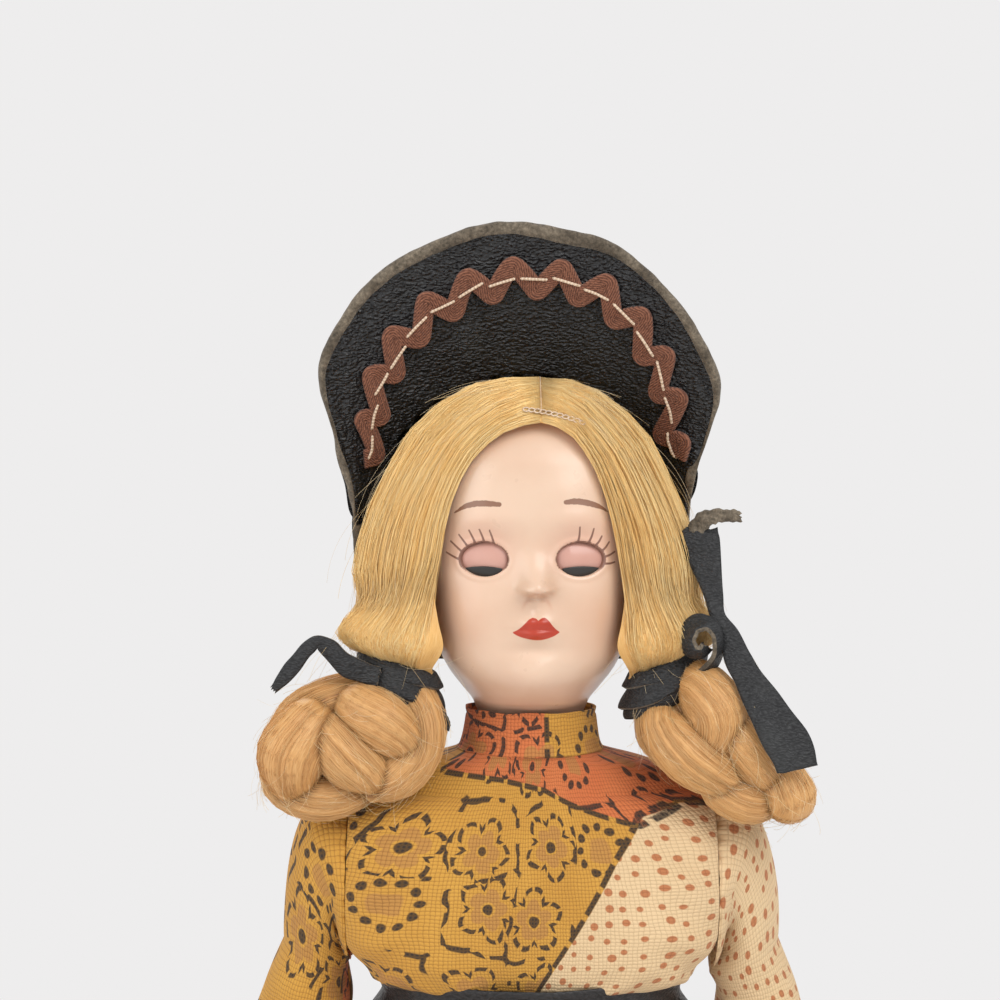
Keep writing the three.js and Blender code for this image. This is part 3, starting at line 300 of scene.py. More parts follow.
def add(tree, kind, *values, out=0, stops=(), **settings):
    """Adds a node and gives back one of its outputs. Capitals name an operation of the maths node. Values
    go in order to the sockets in use, or by name from a dict; a hex code is a colour. stops fill a ramp."""
    if kind.isupper():
        kind, settings["operation"] = "Math", kind
    made = tree.nodes.new("ShaderNode" + kind)
    for key, value in settings.items():
        setattr(made, key, value)
    for k, (place, code) in enumerate(stops):
        element = made.color_ramp.elements[k] if k < 2 else made.color_ramp.elements.new(place)
        element.position, element.color = place, linear(code)
    named = values[0] if values and isinstance(values[0], dict) else {}
    in_use = [socket for socket in made.inputs if socket.enabled]
    for socket, value in [(made.inputs[key], value) for key, value in named.items()] or zip(in_use, values):
        if isinstance(value, bpy.types.NodeSocket):
            tree.links.new(value, socket)
        else:
            socket.default_value = linear(value) if isinstance(value, str) else value
    shown = [socket for socket in made.outputs if socket.enabled]
    return made.outputs[out] if isinstance(out, str) else shown[out] if shown else None


def new_tree(name):
    """A material and its empty node tree."""
    material = bpy.data.materials.new(name)
    material.use_nodes = True
    material.node_tree.nodes.clear()
    return material, material.node_tree


RGB = {"data_type": "RGBA"}  # the mix node's settings for colours
SOFT = {"interpolation_type": "SMOOTHSTEP"}  # the map range node's, for a step with soft ends
PLANE = {"noise_dimensions": "2D"}  # the noise node's, for a pattern that lies flat on cloth

# %% World, floor and lamps
backdrop = "#EEEDED"
world = bpy.data.worlds.new("studio")
bpy.context.scene.world = world
world.use_nodes = True
sky = world.node_tree
sky.nodes.clear()
rays = [add(sky, "LightPath", out=f"Is {kind} Ray") for kind in ("Glossy", "Transmission")]
mirrored = add(sky, "MAXIMUM", *rays)
seen = add(sky, "MAXIMUM", add(sky, "LightPath", out="Is Camera Ray"), mirrored)
ambient = add(sky, "Background", "#F4F2F0", 0.78)
add(sky, "OutputWorld", add(sky, "MixShader", seen, ambient, add(sky, "Background", backdrop, 1.0)))

floor_paper, tree = new_tree("matt_white_paper_floor")
away = add(tree, "VectorMath", add(tree, "NewGeometry"), operation="LENGTH")
fade = add(tree, "MapRange", away, 0.20, 0.33, **SOFT)
paper = add(tree, "BsdfPrincipled", {"Base Color": backdrop, "Roughness": 0.9})
add(tree, "OutputMaterial", add(tree, "MixShader", fade, paper, add(tree, "BsdfTransparent")))

floor_radius, rings, spokes = 345, 24, 96
angles = np.arange(spokes) / spokes * 2 * math.pi
radii = np.linspace(1, floor_radius, rings)
disc = np.stack([np.outer(radii, np.cos(angles)), np.outer(radii, np.sin(angles)),
                 np.full((rings, spokes), -0.4)], -1)
floor = make_mesh("floor", disc.reshape(-1, 3), grid_faces(rings, spokes, wrap=True))
floor.data.materials.append(floor_paper)


def lamp(name, place, aim, size, watts):
    """A square soft lamp at place that points at aim, both in mm."""
    data = bpy.data.lights.new(name, "AREA")
    data.shape, data.size, data.energy = "SQUARE", size, watts
    made = link(bpy.data.objects.new(name, data))
    made.location = Vector(place) * MM
    made.rotation_euler = (Vector(aim) - Vector(place)).to_track_quat("-Z", "Y").to_euler()


lamp("key_lamp", (330, -520, 620), (0, 0, 150), 0.46, 3.1)
lamp("fill_lamp", (-560, -420, 330), (0, 0, 150), 0.60, 1.9)
lamp("rear_lamp", (-120, 620, 520), (0, 0, 140), 0.50, 2.3)

bpy.context.scene.view_settings.view_transform = "Standard"

# %% [markdown]
# ## Materials
# Each one starts from what the real thing is. Patterns are made from a size in millimetres. Where a
# pattern has to follow a piece, such as the weave along a sleeve, the mesh carries flat coordinates in
# millimetres in a field named `cloth`, and the hair carries `strand`, one number for each hair.

# %% Plastics
def shade(material, tree, colour, height=None, relief=0.0, deep_mm=0.3, **look):
    """Ends a material: its shader with a colour, a bump of some height and the sockets that look names."""
    sockets = {name.replace("_", " "): value for name, value in look.items()}
    if height is not None:
        sockets["Normal"] = add(
            tree, "Bump", {"Height": height, "Strength": relief, "Distance": deep_mm * MM})
    add(tree, "OutputMaterial", add(tree, "BsdfPrincipled", {"Base Color": colour, **sockets}))
    return material


def moulded_plastic(name, tint, roughness, worn="#B98F74"):
    """Injection-moulded cellulose acetate: IOR 1.48, a hard even gloss with faint flow marks."""
    material, tree = new_tree(name)
    where = add(tree, "TexCoord", out="Object")
    cloudy = add(tree, "TexNoise", where, 90, 3)
    colour = add(tree, "Mix", add(tree, "MapRange", cloudy, 0.35, 0.9, **SOFT), tint, worn, **RGB)
    grain = add(tree, "TexNoise", where, 900, 2)
    rough = add(tree, "MapRange", grain, 0, 1, roughness - 0.05, roughness + 0.07)
    return shade(material, tree, colour, cloudy, 0.08, 0.4, Roughness=rough, IOR=1.48)


body_plastic = moulded_plastic("moulded_acetate_body", "#DDB79B", 0.34)
lash_plastic = moulded_plastic("moulded_black_lash_plastic", "#2C2A28", 0.38, "#3A3835")

# The painted face: sprayed lid shadow and cheeks, hand-painted brows, lashes and lips on the same plastic,
# with painted shade under the chin, under the nose and at the face's edges. The mesh carries blush and
# painted shade as masks from 0 to 1, and paint as distances in mm that are negative inside a painted line.
material, tree = new_tree("painted_acetate_face")
where = add(tree, "TexCoord", out="Object")
blush_and_shade, paint = ([add(tree, "SeparateXYZ", add(tree, "Attribute", out="Vector", attribute_name=name), out=axis)
                 for axis in "XYZ"] for name in ("blush_and_shade", "paint"))
cloudy = add(tree, "TexNoise", where, 120, 4)
skin = add(tree, "Mix", add(tree, "MapRange", cloudy, 0.3, 0.8, **SOFT), "#DFC2AA", "#D8B79E", **RGB)
# Tints for the masks in turn; the last one, #C58F72, is painted shade rather than blush.
for mask, tint in zip(blush_and_shade, ("#DFAE97", "#D9A98C", "#C58F72")):
    skin = add(tree, "Mix", mask, skin, tint, **RGB)
dry = add(tree, "MapRange", add(tree, "TexNoise", where, 2600, 2), 0.42, 0.62, **SOFT)
brow = add(tree, "ADD", paint[0], add(tree, "MULTIPLY", add(tree, "MULTIPLY", dry, 0.35), 0.12))
brow = add(tree, "MULTIPLY", add(tree, "MapRange", brow, 0.05, -0.05, **SOFT), 0.9)
skin = add(tree, "Mix", brow, skin, "#7C523C", **RGB)
lashes = add(tree, "MULTIPLY", add(tree, "MapRange", paint[1], 0.05, -0.04, **SOFT), 0.88)
skin = add(tree, "Mix", lashes, skin, "#6F483C", **RGB)
lip_colour = add(tree, "Mix", add(tree, "MapRange", cloudy, 0.4, 0.7, **SOFT), "#BC3E24", "#AB3520", **RGB)
skin = add(tree, "Mix", add(tree, "MapRange", paint[2], 0.06, -0.06, **SOFT), skin, lip_colour, **RGB)
smear = add(tree, "TexNoise", where, 260, 3)
rough = add(tree, "MapRange", smear, 0, 1, 0.2, 0.44)
face_plastic = shade(material, tree, skin, smear, 0.12, 0.3, Roughness=rough, IOR=1.48,
                     Subsurface_Weight=0.06, Subsurface_Radius=(1.0, 0.45, 0.3), Subsurface_Scale=0.0012,
                     Coat_Weight=0.12, Coat_Roughness=0.12)

# Lids are sprayed pink on a smooth ball, a little glossier than the face. Below the lash the same ball is
# the eye: white with an iris and a pupil, which show when the eyes open. Their colour is a guess. The mesh
# carries gaze: mm from the iris's middle, and degrees up from the front.
material, tree = new_tree("sprayed_pink_lid")
where = add(tree, "TexCoord", out="Object")
cloudy = add(tree, "TexNoise", where, 420, 3)
gaze = add(tree, "Attribute", out="Vector", attribute_name="gaze")
gaze = [add(tree, "SeparateXYZ", gaze, out=axis) for axis in "XY"]
iris = add(tree, "Mix", add(tree, "TexNoise", where, 2400, 3), "#3F6E8C", "#7FA6BC", **RGB)
iris = add(tree, "Mix", add(tree, "MapRange", gaze[0], 1.25, 1.5, **SOFT), iris, "#243F52", **RGB)
iris = add(tree, "Mix", add(tree, "MapRange", gaze[0], 0.62, 0.56, **SOFT), iris, "#0E0D0D", **RGB)
eye = add(tree, "Mix", add(tree, "MapRange", gaze[0], 1.58, 1.52, **SOFT), "#E6E0D8", iris, **RGB)
lid = add(tree, "Mix", cloudy, "#CFA294", "#C79485", **RGB)
lid = add(tree, "Mix", add(tree, "MapRange", gaze[1], -25, -23, **SOFT), eye, lid, **RGB)
lid_paint = shade(material, tree, lid, Roughness=0.3, IOR=1.48)


# %% Mohair
def mohair(name, dark, middle, bright, painted_shade, roughness=0.42, mass=False):
    """Combed goat hair: smooth scales, so it is silkier than wool. Each hair has its own tone, which drifts
    along it. A mass under the hairs draws the same grooves and tones from its field `flow` instead. The field
    `depth` mixes in a darker colour as painted shade in grooves, creases and where the hair goes into its
    tie."""
    material, tree = new_tree(name)
    if mass:
        flow = add(tree, "Attribute", out="Vector", attribute_name="flow")
        flow = add(tree, "VectorMath", flow, (7.0, 0.35, 1.0), operation="MULTIPLY")
        tone = add(tree, "TexNoise", flow, 1.0, 5, 0.65)
        stops = [(0.25, dark), (0.48, middle), (0.72, bright)]
    else:
        patch = add(tree, "TexNoise", add(tree, "TexCoord", out="Object"), 150, 2)
        strand = add(tree, "Attribute", out="Fac", attribute_name="strand")
        tone = add(tree, "ADD", add(tree, "MULTIPLY", strand, 0.75), add(tree, "MULTIPLY", patch, 0.4))
        stops = [(0.05, dark), (0.42, middle), (0.95, bright)]
    depth = add(tree, "Attribute", out="Fac", attribute_name="depth")
    # Painted shade: the field depth darkens the hair towards the darker colour in grooves, creases and
    # joints.
    colour = add(tree, "Mix", depth, add(tree, "ValToRGB", tone, stops=stops), painted_shade, **RGB)
    return shade(material, tree, colour, tone if mass else None, 0.3, Roughness=roughness, IOR=1.55,
                 Specular_IOR_Level=0.42, Sheen_Weight=0.2, Sheen_Tint=bright)


wig_hair = mohair("combed_golden_mohair", "#E0AC62", "#F9CD80", "#FFE7AE", "#9A6A34")
braid_hair = mohair("plaited_golden_mohair", "#B17E47", "#D5A165", "#EBC388", "#74491F")
stray_hair = mohair("stray_pale_mohair", "#BC9A66", "#E3C793", "#F6E4C0", "#7C5027", 0.5)
wig_mass = mohair("mohair_wig_mass", "#D09A52", "#EFBF74", "#F9D497", "#9A6A34", 0.5, mass=True)
braid_mass = mohair("mohair_braid_mass", "#A97742", "#CF9B5F", "#E2B67C", "#70451F", 0.5, mass=True)


# %% Leather
leather_mm = 1.0  # the skin of the bonnet


def leather(name, dark, light, grain_mm, relief, roughness):
    """Chrome-tanned leather. The grain side has pebbles of about grain_mm with valleys that shine less. Their
    tops are painted lighter, as a highlight, and their valleys darker, as shade.
    """
    material, tree = new_tree(name)
    where = add(tree, "TexCoord", out="Object")
    bent = add(tree, "TexNoise", where, 600, 2, out="Color")
    bent = add(tree, "VectorMath", bent, (0.0011, 0.0011, 0.0011), where, operation="MULTIPLY_ADD")
    flat = add(tree, "VectorMath", bent, (0.72, 0.72, 1.45), operation="MULTIPLY")
    pebble = add(tree, "TexVoronoi", {"Vector": flat, "Scale": 1 / (grain_mm * MM)}, feature="SMOOTH_F1")
    fine = add(tree, "TexNoise", where, 2200, 4)
    height = add(tree, "ADD", add(tree, "SUBTRACT", 1.0, pebble), add(tree, "MULTIPLY", fine, 0.25))
    tone = add(tree, "MapRange", height, 0.35, 1.05, **SOFT)
    rubbed = add(tree, "MapRange", add(tree, "TexNoise", where, 130, 3), 0.5, 0.75, **SOFT)
    # Painted highlight and shade: the pebble tops take the light colour and the valleys the dark one.
    colour = add(tree, "Mix", tone, dark, light, **RGB)
    colour = add(tree, "Mix", add(tree, "MULTIPLY", rubbed, 0.3), colour, "#3A3C3C", **RGB)
    rough = add(tree, "MapRange", tone, 0, 1, min(1, roughness + 0.22), roughness)
    return shade(material, tree, colour, height, relief, 0.6, Roughness=rough, IOR=1.5)


brim_leather = leather("pebbled_black_leather", "#060608", "#1B1C1F", 0.42, 1.0, 0.33)
strip_leather = leather("smooth_black_leather", "#0F1012", "#252628", 0.3, 0.45, 0.5)
belt_leather = leather("polished_black_belt_leather", "#0D0B0B", "#232021", 0.4, 0.3, 0.36)

# Suede is the flesh side: short fibres, no gloss, grey with a green cast where the dye didn't take.
material, tree = new_tree("raw_grey_suede")
where = add(tree, "TexCoord", out="Object")
nap = add(tree, "TexNoise", where, 1900, 5, 0.7)
patch = add(tree, "MapRange", add(tree, "TexNoise", where, 260, 3), 0.42, 0.7, **SOFT)
colour = add(tree, "ValToRGB", nap, stops=[(0.3, "#453E33"), (0.52, "#74695A"), (0.74, "#978A77")])
colour = add(tree, "Mix", add(tree, "MULTIPLY", patch, 0.6), colour, "#7A6F60", blend_type="MULTIPLY", **RGB)
suede = shade(material, tree, colour, nap, 0.9, Roughness=0.95, Sheen_Weight=0.12)


# %% Threads, rickrack and cotton
def cord_cotton(name, dark, light, ribs_per_mm):
    """Braided or twisted cotton: matt, with yarns that show as fine slanting ribs."""
    material, tree = new_tree(name)
    flow = add(tree, "Attribute", out="Vector", attribute_name="cloth")
    along, across = (add(tree, "SeparateXYZ", flow, out=axis) for axis in "XY")
    slant = add(tree, "ADD", along, add(tree, "MULTIPLY", across, 1.4))
    rib = add(tree, "SINE", add(tree, "MULTIPLY", slant, ribs_per_mm * 2 * math.pi))
    fuzz = add(tree, "TexNoise", add(tree, "TexCoord", out="Object"), 2400, 4)
    tone = add(tree, "MULTIPLY_ADD", rib, 0.22, fuzz)
    colour = add(tree, "ValToRGB", tone, stops=[(0.25, dark), (0.75, light)])
    return shade(material, tree, colour, tone, 0.8, 0.25, Roughness=0.92, Sheen_Weight=0.08)


rust_braid = cord_cotton("rust_cotton_rickrack", "#5F3829", "#94614A", 1.9)
cream_thread = cord_cotton("cream_cotton_thread", "#C9AE93", "#EBD5BD", 2.6)


def woven(tree, flat, pitch_mm):
    """Plain weave: height of the threads, 0 in the holes and 1 on a crossing, from flat coordinates."""
    wobble = add(tree, "TexNoise", flat, 0.35, 3, out="Color", **PLANE)
    bent = add(tree, "VectorMath", wobble, (0.5, 0.5, 0), flat, operation="MULTIPLY_ADD")
    threads = []
    for axis in "XY":
        place = add(tree, "MULTIPLY", add(tree, "SeparateXYZ", bent, out=axis), math.pi / pitch_mm)
        threads.append(add(tree, "POWER", add(tree, "ABSOLUTE", add(tree, "SINE", place)), 0.7))
    return add(tree, "MULTIPLY", *threads)


material, tree = new_tree("white_cotton_lawn")
threads = woven(tree, add(tree, "Attribute", out="Vector", attribute_name="cloth"), 0.4)
colour = add(tree, "Mix", threads, "#D8D3C6", "#F0ECE2", **RGB)
white_lawn = shade(material, tree, colour, threads, 0.5, 0.2, Roughness=0.9)

# %% [markdown]
# The dress is cheap cotton printed to look like patchwork: mustard, orange and cream areas that meet at a
# printed dashed seam, with outlined flowers and rings of dots on the warm colours and scattered dots on the
# cream. The layout here is our own. Each cell of a jittered grid holds one motif, drawn in polar
# coordinates round the cell's middle, and the ink sits on the threads, so the holes of the weave show.

# %% Printed calico
material, tree = new_tree("printed_plain_weave_calico")
motif_mm, dot_mm, thread_mm = 9.9, 2.05, 0.49
turn_full = 6.2832
flat = add(tree, "Attribute", out="Vector", attribute_name="cloth")
patch = add(tree, "Attribute", out="Vector", attribute_name="patch")
patch = [add(tree, "SeparateXYZ", patch, out=axis) for axis in "XYZ"]
shake = add(tree, "TexNoise", flat, 0.35, 1, out="Color", **PLANE)
drawn = add(tree, "VectorMath", shake, (0.9, 0.9, 0), flat, operation="MULTIPLY_ADD")
jittered = {"Vector": drawn, "Scale": 1 / motif_mm, "Randomness": 0.45}
cell = add(tree, "TexVoronoi", jittered, out="Color", voronoi_dimensions="2D")
middle = add(tree, "TexVoronoi", jittered, out="Position", voronoi_dimensions="2D")
edge = add(tree, "TexVoronoi", jittered, voronoi_dimensions="2D", feature="DISTANCE_TO_EDGE")
turned, kind = (add(tree, "SeparateXYZ", cell, out=axis) for axis in "XZ")
local = add(tree, "VectorMath", drawn, middle, operation="SUBTRACT")
x, y = (add(tree, "SeparateXYZ", local, out=axis) for axis in "XY")
r = add(tree, "VectorMath", local, operation="LENGTH")
turn = add(tree, "ADD", add(tree, "ARCTAN2", y, x), add(tree, "MULTIPLY", turned, 6.3))


def under(value, limit, soft=0.1):
    """1 where a value of the print is under a limit, with a soft edge."""
    return add(tree, "MapRange", value, limit + soft, limit - soft, **SOFT)


def dashes(run, share):
    """Dashes along a run, one to each whole number, which fill a share of it."""
    return under(add(tree, "ABSOLUTE", add(tree, "SUBTRACT", add(tree, "FRACT", run), 0.5)), share / 2, 0.03)


# A flower of five rounded petals with a dashed outline, a tan heart and a dark eye
petals = add(tree, "ABSOLUTE", add(tree, "COSINE", add(tree, "MULTIPLY", turn, 2.5)))
petals = add(tree, "MULTIPLY_ADD", petals, 1.6, 2.6)
outline = under(add(tree, "ABSOLUTE", add(tree, "SUBTRACT", r, petals)), 0.34)
outline = add(tree, "MULTIPLY", outline, dashes(add(tree, "MULTIPLY", turn, 15 / turn_full), 0.74))
flower_ink = add(tree, "MAXIMUM", outline, under(r, 0.75))
heart = under(add(tree, "SUBTRACT", r, add(tree, "MULTIPLY", petals, 0.66)), 0.0)
flower_tan = add(tree, "MULTIPLY", heart, add(tree, "MapRange", r, 0.95, 1.15, **SOFT))

# A ring of eleven dots round a tan blot
arc = add(tree, "SUBTRACT", add(tree, "FRACT", add(tree, "MULTIPLY", turn, 11 / turn_full)), 0.5)
arc = add(tree, "MULTIPLY", add(tree, "MULTIPLY", arc, turn_full / 11), r)
off_ring = add(tree, "POWER", add(tree, "SUBTRACT", r, 3.0), 2.0)
ring_ink = under(add(tree, "SQRT", add(tree, "ADD", off_ring, add(tree, "MULTIPLY", arc, arc))), 0.55)
fourth = [add(tree, "POWER", add(tree, "ABSOLUTE", side), 4.0) for side in (x, y)]
ring_tan = under(add(tree, "POWER", add(tree, "ADD", *fourth), 0.25), 1.5, 0.15)

flower = add(tree, "MapRange", kind, 0.38, 0.4, **SOFT)
ring = add(tree, "SUBTRACT", 1.0, flower)
ink = add(tree, "ADD", add(tree, "MULTIPLY", flower, flower_ink), add(tree, "MULTIPLY", ring, ring_ink))
tan = add(tree, "ADD", add(tree, "MULTIPLY", flower, flower_tan), add(tree, "MULTIPLY", ring, ring_tan))

# Dashed stems run between the motifs
breaks = add(tree, "MapRange", add(tree, "TexNoise", drawn, 0.5, 0, **PLANE), 0.45, 0.48, **SOFT)
chosen = add(tree, "MapRange", add(tree, "TexNoise", drawn, 0.07, 0, **PLANE), 0.44, 0.46, **SOFT)
stem = add(tree, "MULTIPLY", under(add(tree, "MULTIPLY", edge, motif_mm), 0.33), breaks)
ink = add(tree, "MAXIMUM", ink, add(tree, "MULTIPLY", stem, chosen))

# Patches and the dashed lines between them
cream, orange = (add(tree, "MapRange", distance, -0.08, 0.08, **SOFT) for distance in patch[:2])
near_edge = [add(tree, "ABSOLUTE", add(tree, "ADD", patch[k], shift)) for k, shift in ((0, 0.35), (1, 0.3))]
sewn = dashes(add(tree, "DIVIDE", patch[2], 4.2), 0.8)
sewn = add(tree, "MULTIPLY", under(add(tree, "MINIMUM", *near_edge), 0.36), sewn)
ink = add(tree, "MAXIMUM", add(tree, "MULTIPLY", ink, add(tree, "SUBTRACT", 1.0, cream)), sewn)

# Scattered dots on the cream, each of its own size
speck = {"Vector": flat, "Scale": 1 / dot_mm, "Randomness": 0.45}
dot_pick = add(tree, "SeparateXYZ", add(tree, "TexVoronoi", speck, out="Color", voronoi_dimensions="2D"))
far = add(tree, "MULTIPLY", add(tree, "TexVoronoi", speck, voronoi_dimensions="2D"), dot_mm)
dots = under(add(tree, "SUBTRACT", far, add(tree, "MULTIPLY_ADD", dot_pick, 0.2, 0.33)), 0.0, 0.08)

# The dyes, faded unevenly, then ink on the threads and shade in the holes of the weave
threads = woven(tree, flat, thread_mm)
faded = add(tree, "TexNoise", flat, 0.12, 3, **PLANE)
mustard, rust, pale = (add(tree, "Mix", faded, *pair, **RGB) for pair in (
    ("#D4A045", "#BE8835"), ("#D67E49", "#C4673A"), ("#E5C89E", "#D8BA8F")))
ground = add(tree, "Mix", orange, mustard, rust, **RGB)
ground = add(tree, "Mix", add(tree, "MULTIPLY", tan, 0.72), ground, "#B27F45", **RGB)
spotted = add(tree, "Mix", add(tree, "MULTIPLY", dots, 0.88), pale, "#B2673A", **RGB)
ground = add(tree, "Mix", cream, ground, spotted, **RGB)
inked = add(tree, "MULTIPLY", ink, add(tree, "MULTIPLY_ADD", threads, 0.2, 0.8))
ground = add(tree, "Mix", inked, ground, "#2E241F", **RGB)
holes = add(tree, "MapRange", threads, 0.42, 0.04, **SOFT)
holes = add(tree, "MULTIPLY", holes, add(tree, "MULTIPLY_ADD", cream, -0.16, 0.44))
ground = add(tree, "Mix", holes, ground, "#8A5E38", blend_type="MULTIPLY", **RGB)
calico = shade(material, tree, ground, threads, 0.6, 0.2, Roughness=0.9, Sheen_Weight=0.06)


# %% Where the printed patches lie
def patch_field(flat, cream_shapes, orange_shapes):
    """Signed distances into the cream and orange patches and the run along the nearest edge, all in mm."""
    spots = flat[..., :2].reshape(-1, 2)
    signed, nearest, run = [], np.full(len(spots), 1e9), np.zeros(len(spots))
    for shapes in (cream_shapes, orange_shapes):
        best = np.full(len(spots), -30.0)
        for shape in shapes:
            a = np.asarray(shape, float)
            b = np.roll(a, -1, 0)
            inside = np.zeros(len(spots), bool)
            distance, offset = np.full(len(spots), 1e9), 0.0
            for (ax, ay), (bx, by) in zip(a, b):
                d = np.array([bx - ax, by - ay])
                long = max(np.hypot(*d), 1e-6)
                t = np.clip(((spots - [ax, ay]) @ d) / long**2, 0, 1)
                gap = np.hypot(spots[:, 0] - ax - t * d[0], spots[:, 1] - ay - t * d[1])
                near = gap < distance
                distance[near] = gap[near]
                closer = near & (gap < nearest)
                nearest[closer], run[closer] = gap[closer], offset + t[closer] * long
                crosses = (ay > spots[:, 1]) != (by > spots[:, 1])
                level = ax + (spots[:, 1] - ay) / (by - ay if by != ay else 1e-9) * (bx - ax)
                inside ^= crosses & (spots[:, 0] < level)
                offset += long
            best = np.maximum(best, np.where(inside, distance, -distance))
        signed.append(best)
    return np.stack([*signed, run], 1).reshape(flat.shape)


# %% [markdown]
# ## Head
# The head is a hollow moulding in two halves. Its outline is lofted from rows of half-widths (side, front,
# back) at heights, and the face is pushed forward and back by soft bumps: nose, bridge, nostrils, mouth,
# chin and eye sockets. The mesh is fine enough that the painted lines can be kept as distances at its
# points: the material then draws them sharp.

# %% Head measures
eye_x, eye_y, eye_z, chin_z = 6.45, -8.4, 167.0, 148.6
nose_x, lip_x = 0.6, 0.5  # the moulding is a little uneven, as in the photograph
eye_half = (3.2, 2.3)
head_rows = np.array([
    (137.9, 6.3, 6.3, 6.3), (143.4, 6.5, 6.4, 6.3), (145.6, 7.5, 7.5, 6.8), (146.6, 7.9, 8.8, 7.1),
    (147.4, 8.3, 10.6, 7.4), (149.0, 9.6, 12.0, 8.0), (151.6, 11.5, 12.9, 9.5), (154.6, 12.9, 13.3, 11.3),
    (157.6, 13.7, 13.4, 13.3), (162.0, 14.2, 13.6, 15.3), (165.5, 14.8, 13.8, 16.4),
    (169.0, 14.9, 13.8, 16.8), (173.0, 14.6, 13.9, 16.6), (179.3, 13.6, 13.1, 15.6),
    (183.3, 11.8, 11.3, 13.4), (186.3, 9.1, 8.7, 10.2), (188.4, 5.2, 4.8, 5.6), (189.3, 0.6, 0.6, 0.6),
])


def head_size(z):
    """Half-widths of the head to its side, front and back at a height, and how square its section is."""
    side, front, back = (smooth(head_rows[:, 0], head_rows[:, k], z) for k in (1, 2, 3))
    return side, front, back, 2 + 0.6 * step_up(chin_z, chin_z + 5, z)


def bump(x, z, x0, z0, wide, high):
    """A soft round rise of height 1 on the face."""
    return np.exp(-((x - x0) / wide) ** 2 - ((z - z0) / high) ** 2)


def nose_relief(x, z):
    """The nose: a soft bridge that widens to a round tip, with a steep underside between two wings."""
    rise = step_up(eye_z + 3.4, eye_z - 4.4, z) ** 1.7
    under = step_up(eye_z - 5.4, eye_z - 4.5, z - 0.35 * np.abs(x))
    wide = 2.15 - 0.15 * step_up(eye_z - 0.5, eye_z - 4.2, z)
    ridge = 2.2 * rise * under * np.exp(-(np.abs(x) / wide) ** 2.6)
    tip = 0.75 * bump(x, z, 0, eye_z - 3.7, 1.25, 1.2)
    wings = 0.85 * bump(np.abs(x), z, 1.75, eye_z - 4.2, 0.8, 0.8)
    return ridge + tip * under + wings - 0.3 * bump(np.abs(x), z, 0.7, eye_z - 5.25, 0.45, 0.3)


def face_relief(x, z):
    """How far the moulded face stands out of the plain head, in mm."""
    a = np.abs(x)
    forward = (
        nose_relief(x - nose_x, z)
        + 0.8 * bump(x, z, lip_x, eye_z - 9.0, 3.3, 2.1)
        + 0.3 * bump(np.abs(x - lip_x), z, 0.85, eye_z - 8.3, 0.85, 0.5)
        + 0.4 * bump(x, z, lip_x, eye_z - 9.9, 1.5, 0.6) - 0.14 * bump(x, z, lip_x, eye_z - 9.3, 2.6, 0.2)
        - 0.25 * bump(x, z, lip_x, eye_z - 6.6, 0.42, 0.8) - 0.5 * bump(x, z, lip_x, eye_z - 12.1, 3.2, 0.95)
        + 1.0 * bump(x, z, 0, chin_z + 2.7, 3.4, 2.4) - 1.25 * bump(a, z, 5.8, eye_z + 0.4, 3.6, 3.0)
        + 0.35 * bump(a, z, 6.0, eye_z + 5.2, 4.2, 1.5) + 0.45 * bump(a, z, 8.2, eye_z - 7.2, 3.6, 3.6)
    )
    rim = np.abs(((a - eye_x) / (eye_half[0] + 0.35)) ** 2 + ((z - eye_z) / (eye_half[1] + 0.35)) ** 2 - 1)
    return forward + 0.16 * np.exp(-(rim / 0.28) ** 2)


def face_y(x, z):
    """The y of the face's skin."""
    side, front, _, power = head_size(z)
    inside = np.clip(1 - np.abs(x / side) ** power, 0, 1) ** (1 / power)
    return -(front * inside + face_relief(x, z) * step_up(0.15, 0.5, inside))


# %% Painted lines as distances
def to_line(x, z, points):
    """Distance in mm to a line through points, and how far along it the nearest spot is, from 0 to 1."""
    line = curve(points, 14)[:, :2]
    best, along = np.full(x.shape, 1e9), np.zeros(x.shape)
    for i, (a, b) in enumerate(zip(line[:-1], line[1:])):
        d = b - a
        t = np.clip(((x - a[0]) * d[0] + (z - a[1]) * d[1]) / (d @ d), 0, 1)
        gap = np.hypot(x - a[0] - t * d[0], z - a[1] - t * d[1])
        near = gap < best
        best[near], along[near] = gap[near], ((i + t) / (len(line) - 1))[near]
    return best, along


right_brow = [(-10.4, 173.2), (-8.8, 174.1), (-6.9, 174.45), (-4.4, 174.3)]
left_brow = [(4.4, 174.6), (6.2, 174.7), (8.6, 174.15), (10.2, 173.3)]
right_lashes = [
    ((-5.1, 169.1), (-5.7, 170.9)), ((-6.4, 169.35), (-7.05, 171.0)), ((-7.6, 169.2), (-8.45, 170.9)),
    ((-8.6, 168.7), (-9.8, 170.3)), ((-9.25, 167.9), (-10.9, 169.4)), ((-9.6, 166.9), (-11.5, 167.9)),
]
left_lashes = [
    ((6.1, 169.35), (6.3, 171.3)), ((7.5, 169.2), (8.2, 171.1)), ((8.4, 168.8), (9.3, 170.1)),
    ((9.2, 168.0), (10.3, 169.3)), ((9.6, 167.3), (11.1, 168.0)), ((9.7, 166.4), (11.1, 166.6)),
]
lip_top = [(-2.75, 157.35), (-1.9, 157.75), (-1.15, 158.4), (-0.55, 159.05), (0.0, 159.35), (0.45, 159.25),
           (0.8, 158.95), (1.15, 159.25), (1.6, 159.35), (2.1, 159.0), (2.6, 158.35), (3.1, 157.8),
           (3.65, 157.4)]
lip_low = [(-2.75, 157.35), (-1.7, 156.8), (-0.35, 156.45), (0.6, 156.35), (1.6, 156.45), (2.8, 156.85),
           (3.65, 157.4)]


